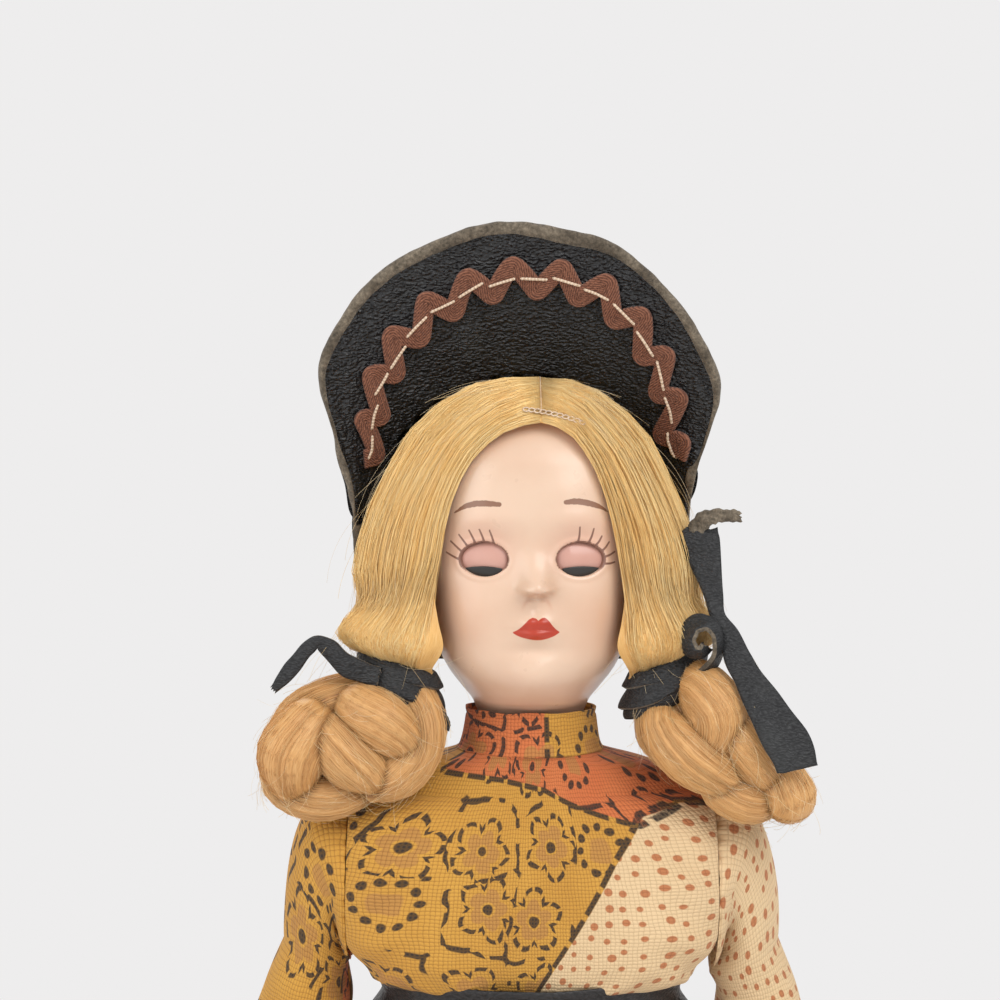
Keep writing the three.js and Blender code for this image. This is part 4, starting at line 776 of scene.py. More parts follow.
def painted(x, z):
    """Signed distances, negative inside the paint: brows, lashes with the eye's outline, and lips."""
    brow = np.full(x.shape, 9.0)
    for line in (right_brow, left_brow[::-1]):
        gap, along = to_line(x, z, line)
        half = 0.42 * step_up(-0.25, 0.55, along) * (1 - 0.25 * step_up(0.8, 1.0, along))
        brow = np.minimum(brow, gap - half)
    fine = np.full(x.shape, 9.0)
    for a, b in right_lashes + left_lashes:
        middle = ((a[0] + b[0]) / 2 + 0.06, (a[1] + b[1]) / 2 - 0.08)
        gap, along = to_line(x, z, [a, middle, b])
        fine = np.minimum(fine, gap - (0.155 - 0.05 * along))
    a = np.abs(x)
    oval = np.hypot((a - eye_x) / (eye_half[0] + 0.08), (z - eye_z) / (eye_half[1] + 0.08))
    outline = np.abs(oval - 1) * 2.6 - 0.1 * step_up(eye_z - 2.2, eye_z - 0.9, z)
    fine = np.minimum(fine, outline)
    top, low = (np.interp(x, *np.transpose(curve(line, 60))) for line in (lip_top, lip_low))
    lips = np.maximum(z - top, low - z)
    lips = np.where(np.abs(x - lip_x + 0.05) < 3.2, lips, 0.5)
    return np.stack([brow, fine, lips], -1)


def sprayed(x, z):
    """Masks from 0 to 1: the lid shadow with painted shade at the hairline, the cheek blush with painted
    shade at the face's sides, and painted shade under the chin and in an arch under the nose.
    """
    a = np.abs(x)
    lid = 0.75 * bump(a, z, 7.0, eye_z + 1.6, 4.6, 3.6)
    # Besides the blush, the cheek mask paints shade at the face's sides.
    cheek = 0.4 * bump(a, z, 9.5, eye_z - 8.0, 4.6, 5.2) + 0.08 * step_up(9.8, 13.2, a) * step_up(158, 164, z)
    # Painted shade: darker from the jaw down and in an arch under the nose tip.
    arch = np.abs(z - (eye_z - 4.3 - 0.75 * np.abs(x - nose_x) ** 1.5)) / 0.42
    low = 0.42 * (1 - step_up(147.5, 153.0, z) + np.exp(-arch**2) * step_up(2.3, 1.5, np.abs(x - nose_x)))
    # Painted shade along the hairline, where the forehead meets the hair; it is mixed into the lid mask.
    hairline = 0.5 * step_up(0.86, 1.04, np.hypot(a / 13.0, (z - 165.0) / 21.0)) * step_up(170, 176, z)
    return np.clip(np.stack([np.maximum(lid, 0.8 * hairline), cheek, low], -1), 0, 1)


# %% Front half of the head
# rows of the grid, closest where the paint is
heights = np.concatenate([np.arange(*span) for span in (
    (137.9, 147.0, 0.4), (147.0, 155.0, 0.25), (155.0, 176.0, 0.16), (176.0, 187.6, 0.35),
    (187.6, 189.31, 0.14))])
columns = 271
angle = np.linspace(-math.pi / 2, math.pi / 2, columns)
Z = np.repeat(heights[:, None], columns, 1)
side, _, _, power = head_size(Z)
X = side * np.sign(np.sin(angle)) * np.abs(np.sin(angle)) ** (2 / power)
faces = grid_faces(len(heights), columns)
oval = (((np.abs(X) - eye_x) / eye_half[0]) ** 2 + ((Z - eye_z) / eye_half[1]) ** 2).ravel()
gone = oval[faces].mean(1) < 1
hole_edge = np.intersect1d(faces[gone], faces[~gone])
flat_x, flat_z = X.ravel().copy(), Z.ravel().copy()
centre = np.where(flat_x[hole_edge] > 0, eye_x, -eye_x)
pull = oval[hole_edge] ** -0.5
flat_x[hole_edge] = centre + (flat_x[hole_edge] - centre) * pull
flat_z[hole_edge] = eye_z + (flat_z[hole_edge] - eye_z) * pull
points = np.stack([flat_x, face_y(flat_x, flat_z), flat_z], 1)
head = make_mesh("head_front", points, faces[~gone], {
    "paint": painted(flat_x, flat_z), "blush_and_shade": sprayed(flat_x, flat_z)})


def wall_in(piece, depth_mm, soft_mm=0.12):
    """Turns each open edge of a skin inwards, with a small rounding, so that it shows its wall."""
    work = bmesh.new()
    work.from_mesh(piece.data)
    bmesh.ops.delete(work, geom=[v for v in work.verts if not v.link_faces], context="VERTS")
    middle = np.array([0.0, 1.0, 165.0]) * MM
    for push in (soft_mm, depth_mm):
        rim = [e for e in work.edges if len(e.link_faces) == 1]
        made = bmesh.ops.extrude_edge_only(work, edges=rim)["geom"]
        for v in (g for g in made if isinstance(g, bmesh.types.BMVert)):
            inward = (middle - np.array(v.co)) * [1, 1, 0.2]
            v.co += Vector(inward / np.linalg.norm(inward) * push * MM)
    work.to_mesh(piece.data)
    work.free()
    piece.data.shade_smooth()


wall_in(head, 0.55)
set_up(outward(head), "head", face_plastic, ["head_front_shell"])

# %% Back half of the head
heights = np.concatenate([np.arange(137.9, 150, 0.6), np.arange(150, 189.31, 0.8)])
heights[-1] = 189.3
columns = 81
angle = np.linspace(math.pi / 2, 3 * math.pi / 2, columns)
Z = np.repeat(heights[:, None], columns, 1)
side, _, back, power = head_size(Z)
X = side * np.sign(np.sin(angle)) * np.abs(np.sin(angle)) ** (2 / power)
Y = back * np.abs(np.cos(angle)) ** (2 / power) + 0.12
points = np.stack([X, Y, Z], -1).reshape(-1, 3)
# The back half gets a quarter of the painted shade from under the chin, all over.
head_back = make_mesh("head_back", points, grid_faces(len(heights), columns), {
    "paint": np.full((len(points), 3), 9.0), "blush_and_shade": np.tile([0, 0, 0.25], (len(points), 1))})
wall_in(head_back, 1.2)
set_up(outward(head_back), "head", face_plastic, ["head_back_shell"])

# %% [markdown]
# ## Sleep eyes
# Each eye is a ball on an axle. Its front is sprayed as a pink lid, and a moulded lash strip sits in a slot
# under it. With the doll upright in the photograph the eyes are shut, so the strip lies at the bottom of
# the opening. The lash is a curved band whose lower edge is cut into a comb.

# %% Eyeballs and lashes
def lid_reach(across):
    """The lid's radius about the axle so that it sits just under the face, at mm from the eye's middle."""
    side, front, _, power = head_size(np.full(np.shape(across), eye_z))
    inside = np.clip(1 - np.abs((eye_x + across) / side) ** power, 0, 1) ** (1 / power)
    reach = np.clip(front * inside + eye_y - 0.82, 0.5, 4.25)
    return reach * np.clip(1 - np.abs((across + 0.1) / 4.0) ** 10, 0, 1) ** 0.5


iris_down = 44  # degrees from the front to the iris, which the lash hides while the eyes are shut
around, comb_rows, comb_columns = 120, 11, 60
offset = np.concatenate([
    np.linspace(-4.09, -3.7, 12), np.linspace(-3.65, 3.5, 46), np.linspace(3.55, 3.89, 12)])
radius = lid_reach(offset)[:, None]
up = np.linspace(0, 2 * math.pi, around, endpoint=False)[None]
lift = np.degrees((up + math.pi) % (2 * math.pi) - math.pi) + 0 * radius
from_iris = np.hypot(radius * np.radians(lift + iris_down), offset[:, None])
for name, side in (("right", -1), ("left", 1)):
    ball = as_rows(side * (eye_x + offset[:, None]), eye_y - radius * np.cos(up), eye_z + radius * np.sin(up))
    gaze = as_rows(from_iris, lift, 0 * lift)
    eye = closed_mesh(f"{name}_eye_ball", ball, capped(len(offset), around), {"gaze": gaze})
    set_up(eye, "sleep_eyes", lid_paint, [f"{name}_eyeball"])

    across = np.linspace(-1, 1, comb_columns)
    teeth = 0.13 * np.abs(np.sin(across * 17)) + 0.06 * ripple(across * 9, seed=3 + side)
    grid = np.zeros((comb_rows, comb_columns, 3))
    for i, t in enumerate(np.linspace(0, 1, comb_rows)):
        x = across * (2.6 - 0.15 * t) + 0.15
        level = -0.92 - 0.3 * across**2 - t * (1.42 - 0.62 * across**2 + teeth * (t > 0.9))
        out = np.sqrt(np.maximum((lid_reach(x) + 0.05 + 0.2 * t) ** 2 - level**2, 0.5))
        grid[i] = np.stack([side * (eye_x + x), eye_y - out, eye_z + level], -1)
    lash = closed_mesh(f"{name}_lash_comb", *sheet_grid(grid, 0.22 * side))
    set_up(lash, "sleep_eyes", lash_plastic, [f"{name}_lash"])

# %% [markdown]
# ## Wig
# The wig is combed from a centre parting down to a tie on each side. We describe one side by guide lines:
# each starts at the parting, swells over the head and ends in the tie. A curve through the guides across
# and along gives a surface, and any hair is a line on it with its own small wander. First comes the
# mass, a closed sheet with grooves, then a few thousand fine tubes that lie in and on it, then strays.

# %% Guide lines of one side, from the face's edge round to the nape
guides = np.array([
    [(1.2, -12.2, 185.4), (5.6, -12.4, 184.1), (9.0, -12.4, 180.6), (10.9, -12.1, 175.2),
     (12.0, -11.8, 168.4), (12.5, -11.4, 161.4), (11.8, -11.2, 155.4), (13.4, -10.4, 150.8)],
    [(1.2, -9.2, 189.4), (6.4, -11.2, 187.5), (11.6, -12.2, 182.8), (14.6, -12.6, 175.8),
     (16.4, -12.8, 168.0), (16.9, -13.0, 160.4), (16.2, -13.4, 155.4), (16.2, -11.0, 151.6)],
    [(1.2, -4.6, 191.2), (8.4, -7.8, 189.9), (15.2, -9.0, 183.9), (19.0, -9.6, 175.0), (20.7, -10.0, 166.8),
     (21.0, -10.8, 160.2), (20.4, -11.6, 156.0), (18.7, -10.4, 152.3)],
    [(1.2, 0.6, 192.0), (9.4, -3.6, 190.7), (17.0, -5.2, 184.6), (21.0, -5.8, 175.2), (22.9, -6.2, 166.6),
     (23.2, -7.2, 160.2), (22.8, -8.0, 156.4), (20.6, -8.2, 153.0)],
    [(1.1, 5.8, 192.0), (9.6, 2.0, 190.4), (17.2, -0.4, 184.2), (20.6, -0.6, 174.8), (21.9, -1.6, 166.4),
     (22.2, -3.8, 159.4), (21.8, -5.4, 156.2), (20.4, -6.2, 153.2)],
    [(1.0, 11.0, 191.0), (9.2, 10.0, 188.4), (16.0, 8.6, 181.6), (18.9, 7.4, 172.5), (20.2, 4.8, 164.5),
     (20.6, 1.0, 158.4), (20.4, -2.4, 155.2), (19.8, -4.2, 153.2)],
    [(0.6, 17.6, 185.6), (5.4, 19.0, 178.0), (9.6, 19.4, 169.6), (13.0, 16.6, 162.6), (15.6, 12.0, 158.2),
     (17.4, 6.0, 155.6), (18.2, 0.6, 154.0), (18.0, -3.4, 152.7)],
    [(0.3, 20.4, 172.0), (3.6, 20.6, 166.2), (7.0, 19.2, 161.8), (10.4, 16.2, 158.6), (13.2, 11.8, 156.4),
     (15.4, 6.4, 154.8), (16.8, 0.8, 153.6), (16.8, -4.0, 152.6)],
    [(0.2, 18.8, 161.0), (3.0, 18.4, 159.0), (6.0, 17.0, 157.4), (9.0, 14.4, 156.2), (11.6, 10.8, 155.2),
     (13.8, 6.2, 154.2), (15.4, 1.0, 153.2), (15.8, -4.6, 152.5)],
])
wig_spread = {"right": 1.03, "left": 0.985}


def on_guides(table, u, v):
    """Points at u across the guides and v along them, both from 0 to 1, by curves through the guides."""
    u, v = np.broadcast_arrays(u, v)
    shape = u.shape
    rows, columns = table.shape[:2]

    def weights(t, n):
        t = np.clip(t.ravel(), 0, 1) * (n - 1)
        i = np.minimum(t.astype(int), n - 2)
        f = t - i
        w = np.stack([-f + 2 * f**2 - f**3, 2 - 5 * f**2 + 3 * f**3,
                      f + 4 * f**2 - 3 * f**3, -f**2 + f**3], 1) / 2
        return np.clip(i[:, None] + np.arange(-1, 3), 0, n - 1), w

    (iu, wu), (iv, wv) = weights(u, rows), weights(v, columns)
    picked = table[iu[:, :, None], iv[:, None, :]]
    return np.einsum("nabk,na,nb->nk", picked, wu, wv).reshape(shape + (3,))


def side_of_wig(side, u, v):
    """A point of the wig on one side, with its locks, a crease above the tie and a plump roll below."""
    sign = 1 if side == "left" else -1
    point = on_guides(guides, u, v)
    near = on_guides(guides, np.clip(u + 0.01, 0, 1), v) - on_guides(guides, np.clip(u - 0.01, 0, 1), v)
    down = on_guides(guides, u, np.clip(v + 0.01, 0, 1)) - on_guides(guides, u, np.clip(v - 0.01, 0, 1))
    normal = unit(np.cross(down, near))
    seed = 11 if side == "left" else 23
    drift = u * 60 + 2.2 * ripple(v * 4, u * 6, seed=seed)
    lock = (0.11 * ripple(drift * 0.55, v * 2, seed=seed + 1)
            + 0.05 * ripple(drift * 1.5, v * 4, seed=seed + 2))
    reach = (0.4 + 0.6 * np.sin(math.pi * np.clip(u * 1.15, 0, 1))) * step_up(0.9, 0.6, u)
    roll = 2.5 * hump(v, 0.83, 0.08) - 0.9 * step_up(0.92, 1.0, v)
    crease_at = 0.665 + 0.018 * ripple(u * 5, seed=seed + 3)
    crease = (1.7 if sign < 0 else 1.0) * hump(v, crease_at, 0.035)
    swell = 0.35 * ripple(u * 4, v * 5, seed=seed + 4) * step_up(0.1, 0.4, v)
    calm = step_up(0.0, 0.12, v)
    point = point + normal * (lock * calm + (roll - crease + swell) * reach)[..., None]
    point[..., 0] *= 1 + (wig_spread[side] - 1) * step_up(0.1, 0.5, v) * (1 - 0.8 * step_up(0.93, 1.0, v))
    point[..., 0] *= 1 - (0.05 if sign < 0 else 0.10) * hump(v, 0.32, 0.2)
    if sign > 0:  # the hair lies lower on this side of the crown
        point[..., 2] -= 1.5 * hump(v, 0.22, 0.15) * np.clip(point[..., 0] / 10, 0, 1)
    if sign < 0:
        point[..., 0] = -point[..., 0] + 2.42 * (1 - step_up(0.0, 0.5, v))
        normal = normal * [-1, 1, 1]
    # The last value is how low the hair lies, in grooves, the crease and the way into the tie; it becomes
    # painted shade.
    return point, normal, 0.6 * lock - 0.35 * crease - 0.7 * step_up(0.88, 1.0, v)


def slide(side, v):
    """How far the hair has slid across the guides: it turns round as it rolls into the tie."""
    return (0.10 if side == "right" else 0.07) * step_up(0.6, 0.9, v)


# %% The mass of each side
for side in ("right", "left"):
    rows, columns = 150, 320
    v, u = np.meshgrid(np.linspace(0, 1, rows), np.linspace(0, 1, columns), indexing="ij")
    if side == "left":
        u = u[:, ::-1]
    uneven = 0.009 * (1 + ripple(v * 26, seed=31)) * np.exp(-u / 0.03) * step_up(0.02, 0.1, v)
    surface, normal, lock = side_of_wig(side, u + uneven, v)
    thick = (1.5 + 0.8 * step_up(0.55, 0.95, v)) * (0.2 + 0.8 * step_up(0, 0.1, u))
    points, faces = sheet_grid(surface, thick)
    # Painted shade in the grooves, the crease and towards the tie.
    deep = np.clip(0.06 - lock * 0.8, 0, 0.75) * step_up(0.02, 0.15, v)
    flow = as_rows((u - slide(side, v)) * 62, v * 60, 0.0)
    mass = closed_mesh(f"{side}_wig_mass", points, faces, {
        "flow": np.vstack([flow, flow]), "strand": np.full(len(points), 0.5),
        "depth": np.tile(deep.ravel(), 2)})
    set_up(mass, "head", wig_mass, ["wig_hair"] if side == "right" else [])

# %% Fine hairs on the mass
hair_zones = {"face": (0.0, 0.27, 2400), "side": (0.25, 0.55, 2300), "back": (0.52, 1.0, 1500)}
for side in ("right", "left"):
    for part, (low, high, count) in hair_zones.items():
        u0 = rng.uniform(low, high, count)
        start, end = rng.uniform(0.0, 0.02, count), rng.uniform(0.9, 1.0, count)
        late = rng.random(count) < 0.35
        start[late] = rng.uniform(0.0, 0.45, late.sum())
        t = np.linspace(0, 1, 14)
        v = start[:, None] + (end - start)[:, None] * t
        swing = rng.normal(0, 0.012, (count, 1)) * np.sin(
            t * rng.uniform(1, 6, (count, 1)) + rng.uniform(0, 6, (count, 1)))
        u = np.clip(u0[:, None] + swing + slide(side, v), 0, 1)
        surface, normal, lock = side_of_wig(side, u, v)
        lift = rng.uniform(-0.06, 0.16, (count, 1)) + 0.08 * np.sin(t * 7 + rng.uniform(0, 6, (count, 1)))
        loose = np.where(rng.random((count, 1)) < 0.09, rng.uniform(0.2, 1.0, (count, 1)), 0)
        loose = loose * np.sin(t * math.pi)
        paths = surface + normal * (lift + loose - 0.1 * np.exp(-u / 0.02))[..., None]
        paths[..., 0] += rng.normal(0, 0.03, (count, 1))
        thin = rng.uniform(0.026, 0.046, (count, 1)) * (1 - 0.5 * np.abs(2 * t - 1) ** 6)
        # Painted shade on each hair from how low it lies.
        hairs = tubes(f"{side}_wig_hairs_{part}", paths, thin, 3, {
            "strand": rng.beta(3.0, 2.4, count), "depth": np.clip(0.02 - lock * 0.6, 0, 0.6)})
        set_up(hairs, "head", wig_hair, ())

# %% [markdown]
# ## Parting stitch
# The mohair is sewn to its cap along the parting, and a chain stitch crosses it at the hairline. These are
# small loops of cream thread.

# %% Parting and chain stitch
def on_wig_front(x, z, lift=0.12):
    """Spots at x and z just proud of the hair, by the foremost place of the wig's surface near each."""
    v, u = np.meshgrid(np.linspace(0, 0.4, 60), np.linspace(0, 0.35, 60), indexing="ij")
    hair = np.concatenate([side_of_wig(side, u, v)[0].reshape(-1, 3) for side in ("right", "left")])
    far = np.hypot(hair[None, :, 0] - x[:, None], hair[None, :, 2] - z[:, None])
    return np.stack([x, np.where(far < 0.6, hair[None, :, 1], 0).min(1) - lift, z], -1)


loops, chain_links, first_link, link_step = [], 11, -0.8, 0.75
t = np.linspace(0, 2 * math.pi, 13)[:-1]
for k in range(chain_links):
    along = k * link_step
    middle = first_link + along
    droop = 187.0 - 0.018 * (middle + 0.8) ** 2 - 0.1 * (middle + 0.8)
    ring = on_wig_front(middle + 0.42 * np.cos(t), droop + 0.26 * np.sin(t))
    loops.append(np.vstack([ring, ring[:1]]))
loops.append([(1.2, -12.5 + 0.85 * k, 186.7 + 5.2 * math.sin(min(k * 0.16, 1.57))) for k in range(13)])
thick = np.array([0.1] * chain_links + [0.05])[:, None]
stitch = tubes("wig_chain_stitch", loops, thick, 5, {"strand": np.zeros(len(loops))})
set_up(stitch, "head", cream_thread, ())

# %% [markdown]
# ## Looped braids
# Below each tie the hair is plaited and the short plait is turned up into a plump bunch. What shows are the
# plaits' lobes: thick bundles that rise from under one neighbour and dive under the next. Each lobe is laid
# along given rows (x, y, z, radius), with its own fine hairs on its skin. The back of each bunch is the
# same plait seen from behind.

# %% Lobes of the braids
def rope_skin(centre, radius, twist, angle, squash=0.94):
    """Points on a bundle's skin at angles round it, for each point of its middle line."""
    along = unit(np.gradient(centre, axis=0))
    forward = np.tile([0.0, -1.0, 0.0], (len(centre), 1))
    out = unit(forward - along * (forward * along).sum(1, keepdims=True))
    across = np.cross(along, out)
    angle = angle + twist * np.linspace(0, 1, len(centre))[:, None]
    return centre[:, None] + radius[:, None, None] * (
        across[:, None] * np.cos(angle)[..., None] + squash * out[:, None] * np.sin(angle)[..., None])


lobes = {
    "right": [
        [(-17.0, -8.6, 144.0, 3.4), (-21.5, -8.8, 142.4, 5.2), (-26.5, -8.8, 141.4, 5.6),
         (-31.5, -8.6, 140.8, 3.6)],
        [(-21.0, -8.0, 149.2, 2.2), (-25.2, -9.8, 148.4, 2.8), (-29.6, -10.4, 146.8, 3.0),
         (-33.0, -9.8, 143.8, 2.6), (-34.0, -8.2, 140.2, 1.8)],
        [(-34.2, -7.6, 140.0, 1.8), (-33.8, -9.8, 137.2, 2.7), (-30.2, -11.3, 135.5, 3.1),
         (-25.8, -11.6, 135.5, 2.9), (-21.6, -10.4, 137.0, 2.0)],
        [(-16.8, -8.2, 150.0, 2.4), (-14.8, -10.8, 146.2, 2.8), (-14.9, -12.2, 141.9, 3.0),
         (-17.8, -12.8, 138.6, 3.2), (-22.0, -11.6, 136.4, 2.2)],
        [(-29.0, -10.2, 145.4, 1.8), (-27.0, -13.0, 143.6, 3.3), (-24.2, -14.0, 141.0, 3.8),
         (-21.4, -13.4, 138.6, 3.0), (-20.8, -10.6, 136.8, 1.6)],
        [(-25.0, -9.6, 148.4, 2.0), (-22.8, -12.6, 147.0, 3.5), (-19.8, -13.8, 145.2, 3.9),
         (-17.0, -12.9, 142.6, 3.0), (-16.4, -10.2, 140.0, 1.6)],
        [(-28.0, -9.4, 146.6, 1.8), (-29.6, -12.6, 145.2, 3.6), (-31.6, -13.6, 141.6, 4.7),
         (-31.8, -12.4, 138.2, 3.7), (-31.0, -9.8, 135.8, 2.0)],
    ],
    "left": [
        [(18.6, -8.4, 147.4, 3.2), (22.0, -9.0, 143.8, 4.6), (25.8, -9.0, 140.4, 5.0),
         (29.8, -8.8, 137.6, 4.2), (33.2, -8.6, 136.2, 2.8)],
        [(17.4, -7.8, 149.4, 2.0), (16.6, -9.8, 145.9, 2.4), (17.2, -10.8, 142.4, 2.4),
         (19.4, -10.4, 139.8, 1.8)],
        [(24.0, -10.2, 139.0, 1.9), (25.2, -12.2, 136.6, 2.8), (28.2, -12.6, 135.1, 3.1),
         (31.0, -11.2, 134.9, 2.5), (32.6, -9.2, 136.2, 1.6)],
        [(25.0, -10.6, 146.0, 1.9), (27.2, -13.2, 143.8, 3.1), (29.2, -13.9, 141.0, 3.2),
         (31.2, -12.8, 138.4, 2.7), (32.4, -10.4, 136.6, 1.7)],
        [(17.0, -9.2, 147.2, 2.0), (17.6, -12.2, 144.4, 3.0), (20.6, -13.8, 141.2, 3.7),
         (24.6, -13.4, 138.6, 3.1), (27.8, -11.4, 137.0, 2.0)],
        [(20.4, -8.2, 151.4, 2.4), (22.8, -11.8, 149.6, 3.5), (24.5, -13.2, 146.4, 4.1),
         (23.9, -13.0, 143.0, 3.3), (21.4, -10.8, 140.6, 1.9)],
        [(31.2, -9.8, 140.2, 1.9), (32.8, -12.2, 138.2, 3.0), (34.0, -12.8, 135.7, 3.6),
         (33.8, -11.2, 134.7, 3.0), (32.8, -8.8, 134.9, 2.0)],
    ],
}
steps, around, lobe_hairs = 60, 44, 330
t = np.linspace(0, 1, steps)
angle = np.arange(around) / around * 2 * math.pi
for side in ("right", "left"):
    grids, faces, flows, painted_shades = [], [], [], []
    strands, tones = {"front": [], "back": []}, {"front": [], "back": []}
    paths = [("front", curve(rows, steps)) for rows in lobes[side]]
    paths += [("back", line * [1, -1, 1, 1] + [0, -16.4, 0, 0]) for _, line in paths[1:]]
    for k, (part, line) in enumerate(paths):
        centre, radius = line[:, :3], line[:, 3] * (1 + 0.03 * ripple(t * 9, seed=40 + k))
        twist = 0.5 if k % 2 else -0.4
        groove = 0.05 * ripple(angle[None] * 8 + 0 * t[:, None], t[:, None] * 2, seed=50 + k, count=7)
        skin = centre[:, None] + (rope_skin(centre, radius, twist, angle[None]) - centre[:, None]) * (
            1 + groove * 0.6)[..., None]
        faces += capped(steps, around, sum(len(g) for g in grids))
        grids.append(skin.reshape(-1, 3))
        flows.append(as_rows(angle[None] * 3.2 + k * 31, t[:, None] * 30, 0.0))
        # Painted shade: each lobe is darkened where it comes close to another lobe and in its grooves.
        others = np.vstack([other[::6] for j, (_, other) in enumerate(paths) if j != k])
        gap = np.linalg.norm(skin[:, :, None] - others[None, None, :, :3], axis=3) - others[None, None, :, 3]
        painted_shades.append((0.8 * step_up(0.9, -0.3, gap.min(2)) - groove).clip(0, 1).reshape(-1))
        if k == 0:
            continue  # the core of the bunch is hidden, so it has no hairs
        turned = rng.uniform(0, 2 * math.pi, (1, lobe_hairs)) + rng.normal(0, 0.06, (1, lobe_hairs))
        lines = rope_skin(centre, radius + 0.04, twist, turned)[::5].transpose(1, 0, 2)
        waves, late = rng.uniform(3, 9, (lobe_hairs, 1)), rng.uniform(0, 6, (lobe_hairs, 1))
        lift = rng.normal(0.0, 0.07, (lobe_hairs, 1)) + 0.1 * np.sin(t[None, ::5] * waves + late)
        lines = lines + unit(lines - centre[None, ::5]) * lift[..., None]
        strands[part].append(lines)
        tones[part].append(rng.beta(3.0, 2.4, lobe_hairs))
    points = np.vstack(grids)
    mass = closed_mesh(f"{side}_braid", points, faces, {
        "flow": np.vstack(flows), "strand": np.full(len(points), 0.5), "depth": np.concatenate(painted_shades)})
    set_up(mass, "head", braid_mass, [f"{side}_braid_loop"])
    for part, lines in strands.items():
        lines = np.vstack(lines)
        hairs = tubes(f"{side}_braid_hairs_{part}", lines, 0.028, 3, {
            "strand": np.concatenate(tones[part]), "depth": np.zeros(len(lines))})
        set_up(hairs, "head", braid_hair, ())

# %% Gathered hair inside the ties
tie_x, tie_y = 18, -7.6  # the middle of each pigtail where it is tied
heights, turn = np.linspace(154.6, 146.6, 26)[:, None], np.arange(72)[None] / 72 * 2 * math.pi
wide = smooth([146.6, 147.6, 149.2, 150.8, 152.4, 153.6, 154.6], [3.2, 4.9, 4.6, 4.3, 4.5, 5.0, 5.4], heights)
for side, sign in (("right", -1), ("left", 1)):
    groove = 1 + 0.035 * ripple(turn * 11, heights * 0.4, seed=60 + sign, count=6)
    grid = as_rows(sign * tie_x + wide * groove * np.cos(turn),
                   tie_y + 0.88 * wide * groove * np.sin(turn), heights)
    # Painted shade: the gathered hair inside the tie is darkened evenly.
    tail = closed_mesh(f"{side}_gathered_hair", grid, capped(heights.size, turn.size), {
        "flow": as_rows(turn * 5, heights, 0.0), "strand": np.full(len(grid), 0.5),
        "depth": np.full(len(grid), 0.25)})
    set_up(tail, "head", wig_mass, [f"{side}_pigtail"])

# %% [markdown]
# Mohair never lies quite flat. A few hundred loose hairs leave the wig, cross the brim and the ties, and
# stand off the braids. They are thin arcs: each leaves the surface along the combing, then lifts and curls.

# %% Flyaway hairs
def flyaway(start, along, off, long, lift, curl, round_mm, count=10):
    """Arcs from points: along the combing, off the surface by `lift` of their length, with a sideways curl.
    round_mm is the radius of what they lie on, which they follow round."""
    t = np.linspace(0, 1, count)[None, :, None]
    aside = np.cross(along, off)[:, None]
    long = long[:, None, None]
    rise = lift[:, None, None] * (t - 0.45 * t**2) - long * t**2 / (2 * round_mm)
    bend = along[:, None] * t + off[:, None] * rise + aside * curl[:, None, None] * t**2
    return start[:, None] + long * bend


# rows of count, span across and along the wig, length in mm and lift: over the crown, at the parting, at the
# back, and a few long ones
stray_zones = [
    (260, (0.0, 0.62), (0.1, 0.72), (3.0, 9.0), 0.14), (70, (0.1, 0.62), (0.0, 0.25), (3.0, 9.0), 0.1),
    (110, (0.6, 1.0), (0.2, 0.8), (3.0, 8.0), 0.2), (36, (0.25, 0.62), (0.25, 0.9), (8.0, 17.0), 0.42)]
lobe_strays, tie_strays = 60, 16
for side, sign in (("right", -1), ("left", 1)):
    arcs = []
    for count, u_span, v_span, reach, lift in stray_zones:
        u, v = rng.uniform(*u_span, count), rng.uniform(*v_span, count)
        here, normal, _ = side_of_wig(side, u, v)
        ahead, behind = (side_of_wig(side, u, np.clip(v + step, 0, 1))[0] for step in (0.02, -0.02))
        arcs.append(flyaway(here, unit(ahead - behind), normal, rng.uniform(*reach, count),
                            lift * rng.uniform(0.3, 1.6, count), rng.normal(0, 0.22, count), 30))
    for rows in lobes[side][1:]:
        line = curve(rows, 40)
        pick = rng.integers(4, 34, lobe_strays)
        outward_way = unit(rng.normal(0, 1, (lobe_strays, 3)) * [1, 0.9, 1] + [0, -0.4, 0])
        along = unit(line[pick + 2, :3] - line[pick - 2, :3])
        outward_way = unit(outward_way - along * (outward_way * along).sum(1, keepdims=True))
        arcs.append(flyaway(line[pick, :3] + outward_way * line[pick, 3:], along, outward_way,
                            rng.uniform(1.5, 5.5, lobe_strays), rng.uniform(0.1, 0.7, lobe_strays),
                            rng.normal(0, 0.5, lobe_strays), 12))
    turn = rng.uniform(math.pi, 2 * math.pi, tie_strays)
    outer = np.stack([np.cos(turn), np.sin(turn), 0 * turn], 1)
    crossing = np.array([sign * tie_x, tie_y, 0]) + outer * [5.9, 5.3, 0]
    crossing[:, 2] = rng.uniform(150.5, 155.5, tie_strays)
    slant = unit(np.stack([rng.normal(0, 0.8, tie_strays), 0 * turn, np.full(tie_strays, -1.0)], 1))
    arcs.append(flyaway(crossing, slant, outer, rng.uniform(3.0, 8.0, tie_strays),
                        rng.uniform(-0.05, 0.25, tie_strays), rng.normal(0, 0.45, tie_strays), 40))
    arcs = np.vstack(arcs)
    loose = tubes(f"{side}_flyaway_hairs", arcs, rng.uniform(0.012, 0.023, (len(arcs), 1)), 3, {
        "strand": rng.random(len(arcs)), "depth": np.zeros(len(arcs))})
    set_up(loose, "head", stray_hair, ())

# %% [markdown]
# ## Bonnet
# The brim is one piece of black leather, grain side to the face, that stands round the head. Its edge is
# turned and shows the grey flesh side as a rolled welt. The brim runs between two curves: the rim, where it
# is sewn to the crown, and the free edge. It cups a little towards the face and waves near the edge, as a
# stiff skin does. The crown is a dome of the same leather with gathers at the seam.

# %% Brim curves and surface
bonnet_x, bonnet_z = -1.2, 170.0
